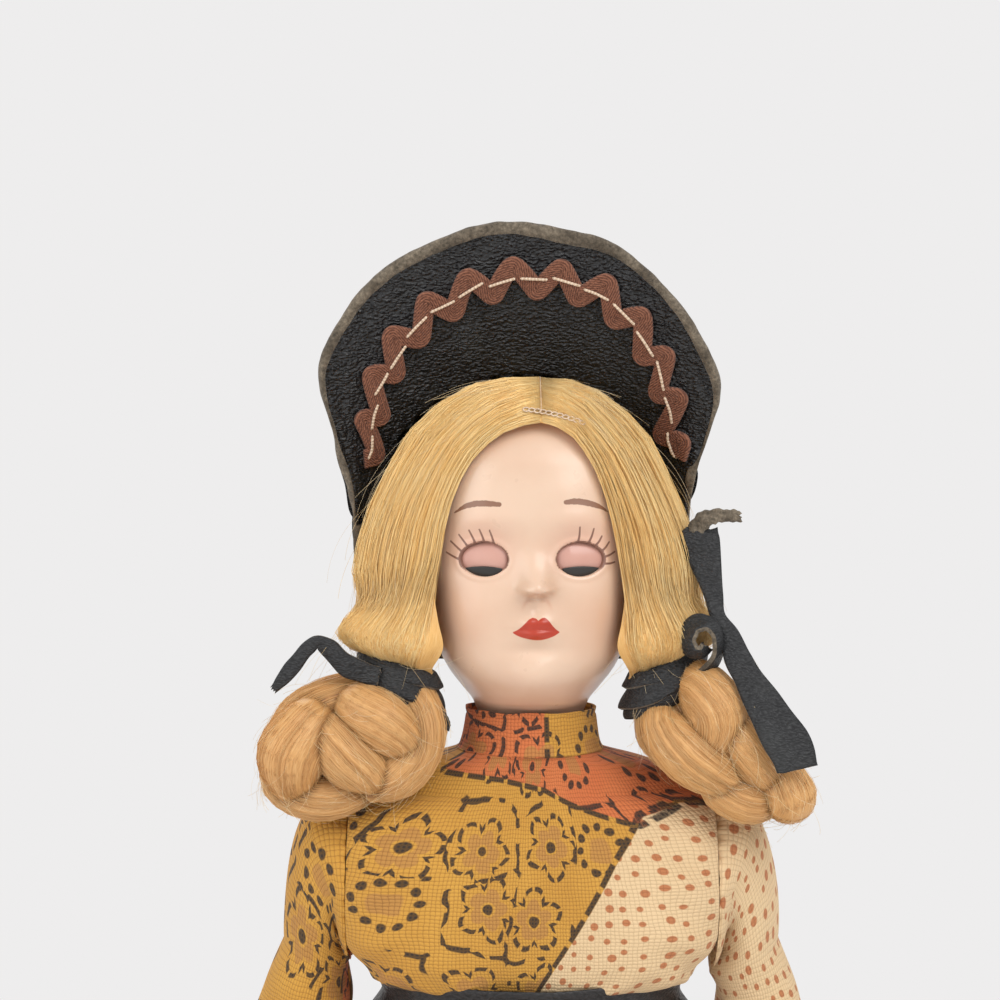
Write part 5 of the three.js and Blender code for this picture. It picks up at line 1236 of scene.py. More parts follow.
# the free edge from the doll's right side over the top to its left: x, y, z and degrees from the top
edge_rows = [
    (-22.4, 3.6, 157.0, -116), (-23.3, 3.0, 164.0, -102), (-24.0, 1.8, 172.6, -89),
    (-24.5, 0.6, 178.2, -80), (-26.2, -1.4, 184.3, -70), (-27.6, -3.4, 190.1, -59),
    (-27.0, -5.2, 194.8, -50), (-22.6, -6.5, 202.4, -36), (-13.9, -7.0, 209.0, -18),
    (-7.2, -7.1, 211.2, -9), (0, -7.0, 211.9, 0), (7.2, -7.1, 210.8, 9), (13.9, -7.0, 208.2, 18),
    (21.6, -6.5, 200.8, 36), (26.0, -5.2, 193.2, 50), (26.9, -3.4, 188.8, 59), (25.9, -1.4, 183.8, 70),
    (24.2, 0.6, 178.0, 80), (23.6, 1.8, 172.4, 89), (23.0, 3.0, 164.0, 102), (22.2, 3.6, 157.0, 116)]
edge_table = curve(edge_rows, 801)
edge_run = run_along(edge_table[:, :3])


def brim_at(along, inward):
    """A point of the brim: along 0 to 1 from the doll's right side over the top to its left, inward 0 at the
    free edge to 1 at the seam."""
    along, inward = np.broadcast_arrays(along, inward)
    run = np.clip(along, 0, 1) * edge_run[-1]
    edge = np.stack([np.interp(run, edge_run, edge_table[:, k]) for k in range(4)], -1)
    turn = np.radians(edge[..., 3])
    free = edge[..., :3] + [bonnet_x, 0, 0]
    rim = np.stack([bonnet_x + 22 * np.sin(turn), 4.25 + 0 * turn, bonnet_z + 23 * np.cos(turn)], -1)
    out = np.stack([np.sin(turn), 0 * turn, np.cos(turn)], -1)
    cup = 0.9 * np.sin(math.pi * inward)
    wave = 0.5 * ripple(along * 20, seed=71) + 0.16 * ripple(along * 60, inward * 3, seed=72)
    wave = wave * (1 - inward) ** 1.6
    crumple = 0.16 * ripple(along * 60, inward * 16, seed=73, count=8)
    point = free + (rim - free) * inward[..., None]
    point[..., 1] -= cup + (wave + crumple) * (1 - inward * 0.8)
    return point + out * (0.2 * ripple(along * 34, seed=74) * (1 - inward) ** 3)[..., None]


def brim_frame(along, inward, step=0.002):
    """Directions on the brim: in towards the seam, and out of the grain side."""
    run = unit(brim_at(along + step, inward) - brim_at(along - step, inward))
    into = unit(brim_at(along, inward + 0.02) - brim_at(along, inward - 0.02))
    face = unit(np.cross(run, into))
    return into, face * np.sign(-face[..., 1:2])


# %% Brim sheet
inward, along = np.meshgrid(np.linspace(0.0, 1, 70), np.linspace(0, 1, 420), indexing="ij")
_, points, faces, _ = layered(brim_at(along, inward), leather_mm, lambda p: -p[..., 1])
set_up(closed_mesh("brim_leather", points, faces), "head", brim_leather, ["bonnet_brim"])

# The turned edge: a welt of flesh side that wraps the cut, thicker at the top, with a crease along it
steps, around = 620, 26
s, angle = np.linspace(0.0, 1.0, steps), np.arange(around) / around * 2 * math.pi
into, face = brim_frame(s, np.zeros_like(s))
middle = brim_at(s, np.zeros_like(s)) + into * 0.35
top = hump(s, 0.5, 0.26)
wide = 0.54 + 0.42 * top * (1 + 0.4 * ripple(s * 26, seed=81)) + 0.03 * ripple(s * 260, seed=82)
thick = 0.74 + 0.06 * ripple(s * 80, seed=83)
lump = 1 + 0.04 * ripple(s[:, None] * 160, angle[None] * 2, seed=84, count=7) - 0.16 * hump(
    np.abs(angle - 4.4)[None], 0.02, 0.25)
welt = (into[:, None] * (np.cos(angle) * wide[:, None] * lump)[..., None]
        + face[:, None] * (np.sin(angle) * thick[:, None] * lump)[..., None])
welt = (middle - face * 0.42)[:, None] + welt
roll = closed_mesh("brim_turned_edge", welt.reshape(-1, 3), capped(steps, around))
set_up(roll, "head", suede, ())

# %% Crown of the bonnet
nape_z, dome_middle = 152.2, (bonnet_x, 5, 168)
turn = np.linspace(-math.pi, math.pi, 300, endpoint=False)[None]
deep = np.linspace(0, 1, 90)[:, None]
lat = deep * math.pi / 2 * 0.992
pleat = np.cos(turn * 34 + 0.8 * ripple(turn * 6, seed=91)) * (1 - deep) ** 2.2
radius = (1 + 0.016 * pleat + 0.010 * ripple(turn * 9, deep * 6, seed=92, count=8)
          + 0.012 * hump(deep, 0, 0.05))
spread = np.cos(lat * 0.96) ** 0.9 * (1 - 0.97 * deep**10)  # closes to a point at the back
crown_grid = np.stack([bonnet_x + 22.55 * radius * spread * np.sin(turn), 4.6 + 21.3 * np.sin(lat) * radius,
                       np.maximum(bonnet_z + 23.55 * radius * spread * np.cos(turn), nape_z)], -1)
crown_grid, points, faces, _ = layered(
    crown_grid, leather_mm, lambda p: np.linalg.norm(p - dome_middle, axis=-1), wrap=True)
points[:, 2] = np.maximum(points[:, 2], nape_z)
faces = cut_out(faces, crown_grid[..., 2].reshape(-1) < nape_z + 0.001)
crown = closed_mesh("bonnet_crown_leather", points, faces)
set_up(crown, "head", brim_leather, ["bonnet_crown"])

# The seam between crown and brim is covered by a welt
turn = np.radians(np.linspace(-117, 117, 420))
seam = np.stack([bonnet_x + 22.9 * np.sin(turn), 5.0 + 0 * turn, bonnet_z + 23.9 * np.cos(turn)], -1)
welt = tubes("bonnet_seam_welt", [seam], 0.62 + 0.06 * ripple(turn * 40, seed=95), 12, {"strand": [0.0]})
set_up(welt, "head", suede, ())

# %% [markdown]
# ## Rickrack
# Rickrack is a flat braid woven in a zigzag. Its yarns run along the waves as a few parallel cords, so we
# sweep a section with five low ribs along a wave that lies on the brim. A running stitch of thick cream
# thread holds it: long stitches on top, short gaps where the thread dives.

# %% Zigzag braid and its stitches
wave_mm, wave_high, braid_half, stitch_mm = 6.5, 1.85, 1.38, 4.6
start_at, end_at, count = 0.2, 0.8, 1400
# how far in from the free edge the braid's middle lies, in mm, by the share of the way along the edge
inset_knots = [(0.19, 7.4), (0.2, 7.6), (0.22, 9.4), (0.245, 10.6), (0.28, 10.4), (0.33, 9.7), (0.37, 9.1),
               (0.44, 8.2), (0.5, 7.4), (0.56, 6.8), (0.62, 6.9), (0.68, 7.7), (0.74, 9.0), (0.77, 9.6),
               (0.785, 8.8), (0.8, 7.4)]
s = np.linspace(start_at, end_at, count)
inset_mm = smooth(*np.transpose(inset_knots), s)
depth_mm = np.linalg.norm(brim_at(s, np.zeros(count)) - brim_at(s, np.ones(count)), axis=1)
run_mm = run_along(brim_at(s, inset_mm / depth_mm))
waves = round(run_mm[-1] / wave_mm)
phase = run_mm / run_mm[-1] * waves * 2 * math.pi + 0.22 * ripple(s * 50, seed=102)
swing = wave_high * (1 + 0.08 * ripple(s * 60, seed=101)) * np.arcsin(0.95 * np.sin(phase)) / math.asin(0.95)
print(f"rickrack: {run_mm[-1]:.0f} mm with {waves} waves")


def on_brim(s, inset, lift):
    """A point some mm in from the free edge and lifted off the grain side, and that side's way out."""
    share = inset / np.interp(s, np.linspace(start_at, end_at, count), depth_mm)
    _, face = brim_frame(s, share)
    return brim_at(s, share) + face * np.asarray(lift)[..., None], face


path, face = on_brim(s, inset_mm + swing, np.full(count, 0.35))
across = unit(np.cross(face, unit(np.gradient(path, axis=0))))
w = np.linspace(-1, 1, 27)
ribs = (0.34 + 0.13 * np.abs(np.cos(w * 2.5 * math.pi)) ** 0.7) * (1 - np.abs(w) ** 8 * 0.55)
section = np.concatenate([np.stack([w, ribs], 1), np.stack([w[::-1] * 0.98, -0.28 + 0 * w], 1)])
yarn = 1 + 0.10 * np.sin(np.arange(count)[:, None] * 1.35 + section[:, 0] * 9)
grid = (path[:, None] + across[:, None] * (section[:, 0] * braid_half)[None, :, None]
        + face[:, None] * (section[:, 1] * yarn)[..., None])
trim = closed_mesh("rickrack_braid", grid.reshape(-1, 3), capped(count, len(section)), {
    "cloth": as_rows(run_along(path)[:, None], section[None, :, 0] * braid_half, 0.0)})
set_up(trim, "head", rust_braid, ["rickrack_trim"])

lines, points_each, thread_sides = [], 11, 8
stitches = int(run_mm[-1] / stitch_mm)
u = np.linspace(-1, 1, points_each)
for k in range(stitches):
    low, high = (start_at + (end_at - start_at) * (k + end) / stitches for end in (0.02, 0.97))
    t = np.linspace(low, high, points_each)
    arch = 0.78 + 0.16 * np.sin(np.linspace(0, math.pi, points_each)) - 0.6 * np.abs(u) ** 12
    side_step = np.interp(t, s, inset_mm) + rng.normal(0, 0.16) + u * rng.normal(0, 0.22)
    lines.append(on_brim(t, side_step, arch)[0])
twist = np.tile(np.linspace(0, 3.5, points_each), stitches).reshape(stitches, -1)
thread = tubes("rickrack_running_stitch", lines, 0.2, thread_sides, {"strand": np.zeros(stitches)})
cloth = np.zeros((len(thread.data.vertices), 3), np.float32)
cloth[:, 0] = np.repeat(twist.ravel(), thread_sides)
thread.data.attributes.new("cloth", "FLOAT_VECTOR", "POINT").data.foreach_set("vector", cloth.ravel())
set_up(thread, "head", cream_thread, ())

# %% [markdown]
# ## Leather ties
# Each pigtail is bound with a narrow strip of leather wound round it, whose ends stick out stiffly. A strip
# is a ribbon that follows a line in space, with its own width at each point, and a cut edge.

# %% Leather strips
def strip(name, route, thickness, faces_to=(0, -1, 0), count=120, ragged=0.05, seed=1, ends=(1.0, 1.0)):
    """A ribbon along route rows (x, y, z, width). Its flat side turns towards faces_to, one way or a list."""
    line = curve(route, count)
    path, width = line[:, :3], line[:, 3]
    along = unit(np.gradient(path, axis=0))
    one_way = np.ndim(faces_to) == 1
    look = np.tile(np.asarray(faces_to, float), (count, 1)) if one_way else curve(faces_to, count)
    look = unit(look - along * (look * along).sum(1, keepdims=True))
    across = np.cross(along, look)
    t = np.linspace(0, 1, count)
    half_ring = 15
    w = np.concatenate([np.linspace(-1, 1, half_ring), np.linspace(1, -1, half_ring)])
    up = np.repeat([0.5, -0.5], half_ring) * (1 - 0.35 * np.abs(w) ** 6)
    cup = 0.10 * (1 - w**2)
    cut = 1 + ragged * ripple(t[:, None] * 30, np.sign(w)[None] * 2, seed=seed, count=6)
    bend = 0.12 * ripple(t[:, None] * 9, w[None] * 1.5, seed=seed + 1)
    rough_end = 0.5 * ripple(w * 5, seed=seed + 2)
    first, last = (np.exp(-far / 0.03)[:, None] * rough_end * end for far, end in zip((t, 1 - t), ends))
    grid = (path[:, None] + across[:, None] * (w * (width[:, None] / 2 * cut))[..., None]
            + look[:, None] * (up * thickness + cup + bend)[..., None]
            + along[:, None] * (last - first)[..., None] * 0.5)
    ring = 2 * half_ring
    piece = closed_mesh(name, grid.reshape(-1, 3), capped(count, ring))
    for polygon in piece.data.polygons:  # the back and the cut edges are flesh side
        cap = polygon.index >= (count - 1) * ring
        polygon.material_index = int(cap or polygon.index % ring >= half_ring - 1)
    return piece


two_sided = [strip_leather, suede]
strap = strip("left_strap", [
    (22.6, -9.2, 171.0, 5.0), (22.7, -9.6, 169.2, 5.2), (23.5, -10.4, 165.8, 3.9),
    (24.2, -11.6, 162.2, 2.6), (24.7, -12.6, 159.4, 2.0), (26.1, -13.8, 156.9, 2.7),
    (27.1, -14.6, 153.8, 3.6), (28.4, -15.4, 151.4, 3.7), (30.2, -16.8, 148.1, 5.0),
    (32.1, -17.8, 144.8, 5.7), (33.7, -18.3, 142.0, 5.7), (34.2, -18.4, 140.0, 5.4)],
    0.95, seed=111, ragged=0.03, ends=(1, 0.3))
set_up(strap, "head", two_sided, ["left_tie_strap"])
frayed = strip("left_strap_frayed_end", [
    (21.9, -9.4, 170.6, 2.2), (22.9, -9.8, 172.0, 2.4), (24.4, -10.3, 172.7, 2.0), (26.2, -10.5, 172.8, 1.7),
    (27.9, -10.6, 172.7, 1.6)],
    1.2, seed=117, ragged=0.12, count=90)
set_up(frayed, "head", [suede, suede], ())
tail = strip("right_tail", [
    (-20.4, -12.6, 151.4, 2.6), (-22.4, -12.9, 152.0, 2.7), (-24.8, -13.2, 153.1, 2.9),
    (-26.8, -13.5, 155.1, 2.5), (-28.4, -13.6, 156.1, 1.8), (-29.8, -13.6, 155.2, 1.9),
    (-31.6, -13.5, 153.0, 2.1), (-33.2, -13.4, 151.0, 1.7), (-34.3, -13.3, 149.8, 1.0)],
    0.9, seed=121)
set_up(tail, "head", two_sided, ["right_tie_tail"])
short_end = strip("right_short_end", [
    (-14.2, -10.6, 148.6, 1.6), (-12.9, -10.8, 147.0, 1.5), (-11.9, -10.6, 145.4, 1.5),
    (-11.5, -10.4, 144.2, 1.3)],
    0.8, seed=125, count=40)
set_up(short_end, "head", two_sided, ())
curl = strip("left_curl", [
    (21.4, -11.4, 150.2, 2.8), (23.8, -12.9, 153.0, 3.2), (24.6, -14.2, 155.4, 3.5),
    (24.2, -14.7, 157.6, 3.6), (22.7, -14.9, 158.7, 3.6), (21.0, -14.9, 158.2, 3.6),
    (20.3, -14.9, 156.5, 3.5), (20.9, -14.9, 155.0, 3.4), (22.2, -14.9, 154.8, 3.2),
    (22.9, -14.9, 155.7, 3.0)],
    0.9, seed=131, faces_to=[
        (1, -0.9, -0.4), (1, -0.7, -0.3), (1, -0.5, 0.1), (0.8, -0.5, 0.6), (0.1, -0.5, 1), (-0.8, -0.5, 0.6),
        (-1, -0.5, -0.1), (-0.5, -0.5, -0.9), (0.5, -0.5, -0.9), (1, -0.5, 0)])
set_up(curl, "head", two_sided, ["left_tie_curl"])

# Three turns of each tie: height from the middle, width, slope, and a tilt so that a cut edge shows
tie_z, tie_turns = 150.4, [(-1.7, 2.9, 0.42, -0.25), (0.1, 3.4, 0.5, 0.2), (1.8, 2.6, 0.34, 0.32)]
for side, sign in (("right", -1), ("left", 1)):
    for k, (rise, wide, slope, tilt) in enumerate(tie_turns):
        route, look = [], []
        for a in np.linspace(0.3 + k, 0.3 + k + 2 * math.pi * 1.02, 17):
            grow = 1 + 0.03 * np.sin(a * 3 + k) + 0.05 * (k == 1)
            route.append((sign * tie_x + 5.0 * grow * math.cos(a), tie_y + 4.5 * grow * math.sin(a),
                          tie_z + rise + slope * 5 * sign * math.cos(a), wide))
            look.append((math.cos(a), math.sin(a), tilt - 0.3 * sign * math.cos(a)))
        turn = strip(f"{side}_tie_turn_{k + 1}", route, 0.8, faces_to=look, seed=140 + k + 10 * sign,
                     ragged=0.06)
        set_up(turn, "head", two_sided, [f"{side}_braid_tie"] if k == 0 else [])

# %% [markdown]
# ## Dress
# A folk dress of four cut pieces: a bodice with a back opening, two sleeves set into round armholes, and a
# gathered skirt. The bodice is lofted through rows (side, front, back) and given tension folds near the
# armholes. Each cloth is a closed sheet 0.4 mm thick, and its field `cloth` unrolls it to flat
# millimetres, so the print keeps its size.

# %% Bodice
bodice_rows = np.array([
    (106.2, 19.4, 13.4, 13.0), (107.6, 20.4, 13.7, 13.3), (110.5, 22.6, 15.0, 14.2),
    (114.0, 24.9, 16.0, 14.7), (117.0, 26.6, 16.2, 14.8), (122.0, 27.2, 15.8, 14.6),
    (128.0, 27.4, 14.4, 13.8), (132.5, 26.4, 12.6, 12.4), (135.0, 24.0, 11.0, 11.0),
    (137.2, 20.4, 10.3, 10.4), (138.7, 16.4, 10.2, 10.3), (140.3, 10.2, 10.1, 10.2)])
armhole_x, armhole_radius, axis_z, cloth_mm = 24.95, 11.4, 122.0, 0.4


def printed(flat, cream_shapes, orange_shapes):
    """The fields that the print reads: flat coordinates and the patches."""
    return {"cloth": flat, "patch": patch_field(flat, cream_shapes, orange_shapes)}


deep = np.concatenate([np.linspace(0, 0.80, 80), np.linspace(0.81, 1, 50)])
heights = smooth([0, 0.62, 0.86, 1], [106.4, 130.0, 137.6, 140.45], deep)[:, None]
turn = np.linspace(-math.pi, math.pi, 380)[None]
side, front, back = (smooth(bodice_rows[:, 0], bodice_rows[:, k], heights) for k in (1, 2, 3))
depth = np.where(np.cos(turn) > 0, front, back)
# between the armholes the section is squarer, so that the cloth reaches the whole ring of each sleeve
square = 2 + 2.2 * np.sqrt(np.clip(1 - ((heights - axis_z) / 13.0) ** 2, 0, 1))
X = side * np.sign(np.sin(turn)) * np.abs(np.sin(turn)) ** (2 / square)
Y = -depth * np.sign(np.cos(turn)) * np.abs(np.cos(turn)) ** (2 / square)
Z = heights + 0 * turn
out = unit(np.stack([np.sin(turn) + 0 * Z, -np.cos(turn) * 1.3 + 0 * Z, 0 * Z], -1))
low_fold = hump(np.abs(X), 20.5, 4.5) * np.sin((Z - 108) * 0.85 + np.abs(X) * 0.5)
low_fold = low_fold * step_up(133, 122, Z) * -0.42
gathered = 0.225 * hump(Z, 110, 2.4) * np.sin(turn * 19 + 1.3 * ripple(turn * 4, seed=152))
pull = 0.28 * ripple(X * 0.16, Z * 0.12, seed=151, count=7) + gathered
surface = np.stack([X, Y, Z], -1) + out * (low_fold + pull - 0.275 * hump(Z, 139.7, 0.5))[..., None]
surface[..., 0] = np.clip(surface[..., 0], -armhole_x, armhole_x)
flat = np.stack([np.arctan2(surface[..., 0], -surface[..., 1]) * 19.5, surface[..., 2], 0 * Z], -1)
cream_front = [
    (22.0, 96.0), (-5.0, 96.0), (-2.4, 104.5), (12.6, 126.6), (17.4, 132.6), (22.5, 134.0), (30.5, 133.0),
    (62, 128), (62, 98)]
orange_yoke = [
    (-19.0, 138.4), (-8.0, 137.6), (3.2, 136.2), (16.6, 131.8), (22.5, 134.4), (31, 133), (40, 150),
    (-30, 150)]
orange_back = [(-62, 100), (-34, 100), (-30, 122), (-46, 133), (-62, 130)]
surface, points, faces, fields = layered(
    surface, cloth_mm, from_axis, printed(flat, [cream_front], [orange_yoke, orange_back]))
inside_ring = np.hypot(surface[..., 1], surface[..., 2] - axis_z) < armhole_radius
faces = cut_out(faces, ((np.abs(surface[..., 0]) > armhole_x - 0.01) & inside_ring).reshape(-1))
points[:, 0] = np.clip(points[:, 0], -armhole_x, armhole_x)
bodice = closed_mesh("bodice_cloth", points, faces, fields)
set_up(bodice, "torso", calico, ["dress_bodice"])

# %% Collar
t = np.linspace(0, 1, 36)[:, None]
turn = np.linspace(-math.pi, math.pi, 260)[None]
height = 140.35 + 5.65 * t + 0.12 * ripple(turn * 5, seed=161) * t
radius = 10.0 - 0.95 * smooth([0, 0.4, 1], [0, 0.5, 1], t) + 0.3 * np.exp(-t / 0.08)
radius = radius + 0.10 * ripple(turn * 6, t * 3, seed=162)
radius = radius + 0.16 * hump(t, 1, 0.06) - 0.12 * hump(t, 0.86, 0.04)
radius = radius + 0.55 * step_up(math.pi * 0.93, math.pi * 0.97, turn)  # the lap of the back opening
surface = np.stack([radius * np.sin(turn), -radius * np.cos(turn), height], -1)
flat = np.stack(np.broadcast_arrays(turn * 9.6 + 40, height, 0.0), -1)
away = [(-90, 0), (-80, 0), (-80, 5), (-90, 5)]  # the collar has no cream patch
orange_half = [(-10, 100), (40.6, 100), (42.2, 160), (-10, 160)]
_, points, faces, fields = layered(surface, cloth_mm, from_axis, printed(flat, [away], [orange_half]))
collar = closed_mesh("collar_cloth", points, faces, fields)
set_up(collar, "torso", calico, ["dress_collar"])

# %% [markdown]
# Each sleeve turns with its arm. So its head is round about the arm's axis, where it meets the armhole, and
# only from there down does it lean into a tube with folds at the elbow and a turned hem.

# %% Sleeves
arm_x, seam_x, seam_radius, sleeve_long, splay = 27.5, 25.05, 11.6, 38.3, math.radians(14)
# rows down the tube: mm from the arm's axis, half the width across, half the depth
tube_rows = np.array([
    (-4, 4.1, 6.8), (2, 4.6, 7.0), (8, 5.2, 6.9), (14, 5.7, 6.9), (26, 6.3, 6.9), (35, 6.8, 7.0),
    (sleeve_long, 7.0, 7.0)])


def sleeve_grid(sign, seed):
    """The sleeve as one sheet: rows run from the armhole seam over the round head and down to the hem."""
    s = np.linspace(0, 1, 190)[:, None]
    turn = np.linspace(-math.pi, math.pi, 230)[None]
    u, v = np.sin(turn), np.cos(turn)
    seam = np.stack([seam_x + 0 * turn, -seam_radius * u, axis_z + seam_radius * v], -1)
    down = sleeve_long * np.clip((s - 0.16) / 0.84, 0, 1)
    across, deep = (smooth(tube_rows[:, 0], tube_rows[:, k], down) for k in (1, 2))
    middle_x, middle_z = arm_x + np.sin(splay) * down, axis_z - np.cos(splay) * down
    tube = np.stack([middle_x + across * v * np.cos(splay), -deep * u,
                     middle_z + across * v * np.sin(splay)], -1)
    # the head of the sleeve: from the seam ring it bulges out and settles into the tube
    blend = step_up(0.0, 0.52, s)[..., None]
    bulge = np.sin(np.clip(s / 0.42, 0, 1) * math.pi) ** 0.9
    top = np.clip(v, 0, 1)
    point = seam * (1 - blend) + tube * blend
    point[..., 0] += bulge * (4.4 * (0.3 + 0.7 * top))
    point[..., 2] += bulge * 1.2 * top
    gather = 0.24 * np.sin(turn * 26 + ripple(turn * 5, seed=seed)) * np.exp(-s / 0.05)
    elbow = 0.55 * np.sin(down * 0.62 + 1.6 * np.cos(turn + 0.8) + seed) * hump(down, 15, 9) * (0.6 - 0.4 * v)
    armpit = 0.75 * np.sin(down * 1.05 + turn * 2 + seed) * np.clip(-v, 0, 1) * hump(down, 3, 6)
    loose = 0.28 * ripple(turn * 2, down * 0.22, seed=seed + 3, count=6)
    hem = 0.22 * step_up(35.4, 35.8, down) - 0.3 * hump(down, 35.4, 0.35)
    radial = unit(point - np.stack(np.broadcast_arrays(middle_x, 0 * turn, middle_z), -1))
    out = gather + elbow * step_up(0, 0.3, s) + armpit + loose * step_up(0, 0.2, s) + hem
    point = point + radial * out[..., None]
    point[..., 0] = np.maximum(point[..., 0], seam_x) * sign
    return point, np.stack(np.broadcast_arrays(turn * 6.9, down - (1 - step_up(0, 0.2, s)) * 3, 0.0), -1)


# Each side's share of the print: how the flat sleeve is laid on it, and its cream and orange patches
sleeve_prints = {
    "right": ([-1, 1, 1], [80, 30, 0], [[(88, 48), (101, 44), (103, 80), (88, 80)]],
              [[(79, 50), (90, 40), (92, 80), (81, 80)], [(56, 24), (60, 24), (62, 50), (56, 58)]]),
    "left": ([1, 1, 1], [180, 60, 0], [[(140, 40), (220, 40), (220, 84), (188, 88), (140, 81)]],
             [[(150, 86), (176, 84), (180, 110), (150, 110)]])}
for side, sign, seed in (("right", -1, 5), ("left", 1, 9)):
    surface, flat = sleeve_grid(sign, seed)
    turned, moved, cream_shapes, orange_shapes = sleeve_prints[side]
    core = np.array([sign * (arm_x + 4.5), 0])
    _, points, faces, fields = layered(
        surface, cloth_mm, lambda p: np.linalg.norm(p[..., :2] - core, axis=-1),
        printed(flat * turned + moved, cream_shapes, orange_shapes))
    points[:, 0] = sign * np.maximum(points[:, 0] * sign, seam_x - 0.03)
    sleeve = closed_mesh(f"{side}_sleeve_cloth", points, faces, fields)
    set_up(sleeve, f"{side}_arm_body", calico, [f"{side}_sleeve"])

# %% [markdown]
# The skirt is a wide strip gathered into the waist. Near the belt the gathers are many and fine; further
# down they join into sixteen soft folds, the same ones as the CAD solid has, which open towards the hem.

# %% Skirt and petticoat
skirt_rows = np.array([
    (2.5, 45.0), (22, 43.4), (49, 39.6), (74, 32.6), (85.1, 28.7), (88.1, 27.7), (99, 24.6), (103.5, 21.6),
    (107, 19.6)])
petticoat_rows = np.array([(6, 38.0), (37, 34.0), (65.2, 28.5), (87.1, 22.4), (99, 19.2)])
z = np.concatenate([np.linspace(107.2, 95, 36), np.linspace(94.6, 2.7, 74)])[:, None]
turn = np.linspace(-math.pi, math.pi, 440, endpoint=False)[None]
radius = smooth(*skirt_rows.T, z)
flatness = 0.72 + 0.28 * np.clip((103 - z) / 40, 0, 1)
angle = turn - math.pi / 2
phase = 16 * angle + 0.5 * ripple(turn * 3, z * 0.012, seed=171)
folds = (0.6 + 3 * (107 - z) / 104.5) * (0.5 * np.cos(phase) - 0.5 + 0.08 * np.sin(2 * phase + 1))
gathers = 0.34 * np.sin(turn * 74 + 2.4 * ripple(turn * 8, seed=172)) * np.exp(-((107 - z) / 5.5))
medium = 0.3 * np.sin(turn * 37 + 1.5 * ripple(turn * 5, z * 0.03, seed=173)) * np.exp(-((107 - z) / 16))
hem = 0.25 * step_up(8.6, 8.0, z) - 0.3 * hump(z, 8.4, 0.5)
reach = radius + folds + gathers + medium + hem + 0.35 * ripple(turn * 4, z * 0.05, seed=174) - 0.5
reach = np.minimum(reach, radius - 0.02)
surface = np.stack([reach * np.cos(angle), reach * flatness * np.sin(angle), z + 0 * turn], -1)
flat = np.stack(np.broadcast_arrays(turn * 43.5, z, 0.0), -1)
cream_shapes = [
    [(2, 110), (40, 110), (58, 78), (44, 40), (14, 46), (8, 76)],
    [(-137, 110), (-96, 110), (-88, 60), (-137, 52)],
    [(-60, 30), (-22, 36), (-16, 0), (-64, 0)],
    [(70, 44), (108, 50), (118, 0), (76, 0)],
    [(-58, 110), (-36, 110), (-44, 78), (-62, 82)]]
orange_shapes = [
    [(-34, 74), (4, 78), (12, 46), (-18, 38), (-40, 46)], [(62, 108), (96, 108), (104, 62), (66, 60)],
    [(-118, 48), (-84, 56), (-66, 20), (-100, 0), (-124, 0)], [(18, 36), (46, 32), (58, 0), (14, 0)],
    [(112, 92), (137, 96), (137, 48), (114, 54)]]
_, points, faces, fields = layered(
    surface, cloth_mm, from_axis, printed(flat, cream_shapes, orange_shapes), wrap=True)
skirt = set_up(closed_mesh("skirt_cloth", points, faces, fields), "torso", calico, ["dress_skirt"])

z = np.linspace(99, 6.2, 110)[:, None]
turn = np.linspace(-math.pi, math.pi, 420, endpoint=False)[None]
open_out = 0.5 * step_up(99, 40, z)
folds = (np.cos(22 * turn + 0.7 * ripple(turn * 4, seed=181)) - 1) * open_out
radius = smooth(*petticoat_rows.T, z) - 0.35 + folds
flatness = 0.74 + 0.26 * np.clip((103 - z) / 40, 0, 1)
surface = np.stack([radius * np.cos(turn), radius * flatness * np.sin(turn), z + 0 * turn], -1)
flat = as_rows(turn * 36, z, 0.0)
petticoat = closed_mesh("petticoat_cloth", *sheet_grid(surface, 0.35, wrap=True), {
    "cloth": np.vstack([flat, flat])})
set_up(petticoat, "torso", white_lawn, ["petticoat"])

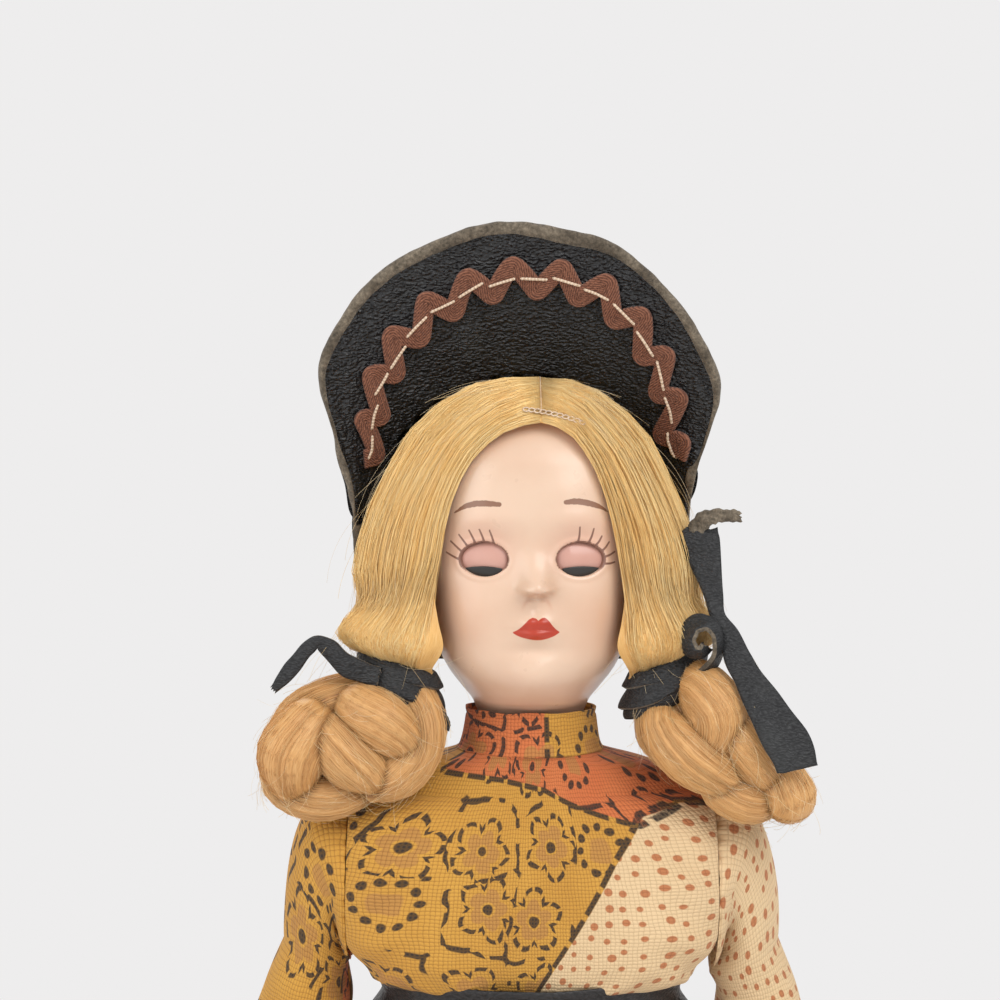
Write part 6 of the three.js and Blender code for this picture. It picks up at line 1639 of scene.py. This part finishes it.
# %% Belt
t = np.linspace(0, 1, 40)[:, None]
turn = np.linspace(-math.pi, math.pi, 300, endpoint=False)[None]
z = 103.5 + 7.0 * t
at, *halves = np.transpose([(103.5, 21.6, 15.552), (107, 19.6, 14.112), (110.5, 21.4, 15.0)])
wide, deep = (smooth(at, half, z) + 1.3 for half in halves)
uneven = 0.10 * ripple(turn * 7, t * 2, seed=191) - 0.25 * (np.exp(-t / 0.03) + np.exp(-(1 - t) / 0.03))
surface = np.stack([(wide + uneven) * np.sin(turn), -(deep + uneven) * np.cos(turn),
                    z + 0.12 * ripple(turn * 6, seed=192)], -1)
_, points, faces, _ = layered(surface, 0.9, from_axis, wrap=True)
set_up(closed_mesh("belt_strip", points, faces), "torso", belt_leather, ["leather_belt"])

# %% [markdown]
# ## Hidden hardware and limbs
# The CAD shapes of the body, posts, rocker and snaps are right as they are. They only need real finishes.

# %% Finishes for CAD nodes
def metal(name, tint, roughness):
    """Drawn or cast metal with fine scratches along it, which are dull."""
    material, tree = new_tree(name)
    place = add(tree, "TexCoord", out="Object")
    drawn = add(tree, "VectorMath", place, (900.0, 4000.0, 900.0), operation="MULTIPLY")
    scratch = add(tree, "TexNoise", drawn, 1.0, 3)
    rough = add(tree, "MapRange", scratch, 0, 1, roughness - 0.08, roughness + 0.12)
    colour = add(tree, "Mix", scratch, tint, "#8C8B88", **RGB)
    return shade(material, tree, colour, Roughness=rough, Metallic=1.0)


nickel = metal("nickel_plated_steel", "#B9B8B3", 0.3)
cast_lead = metal("dull_cast_lead", "#6E7075", 0.62)
material, tree = new_tree("aged_black_rubber")
bloom = add(tree, "TexNoise", add(tree, "TexCoord", out="Object"), 700, 4)
rubber = shade(material, tree, add(tree, "Mix", bloom, "#23211F", "#3B3733", **RGB), Roughness=0.8)
finishes = {
    nickel: ["neck_post", "left_arm_post", "right_arm_post", "eye_rocker", "eye_bracket", "back_snap_upper",
             "back_snap_lower"],
    cast_lead: ["eye_weight"], rubber: ["arm_stringing_band"],
    body_plastic: ["torso_front_shell", "torso_back_shell", "left_arm", "right_arm"],
}
for material, names in finishes.items():
    for name in names:
        nodes[name].data.materials.clear()
        nodes[name].data.materials.append(material)
print("CAD nodes kept:", sum(len(names) for names in finishes.values()))
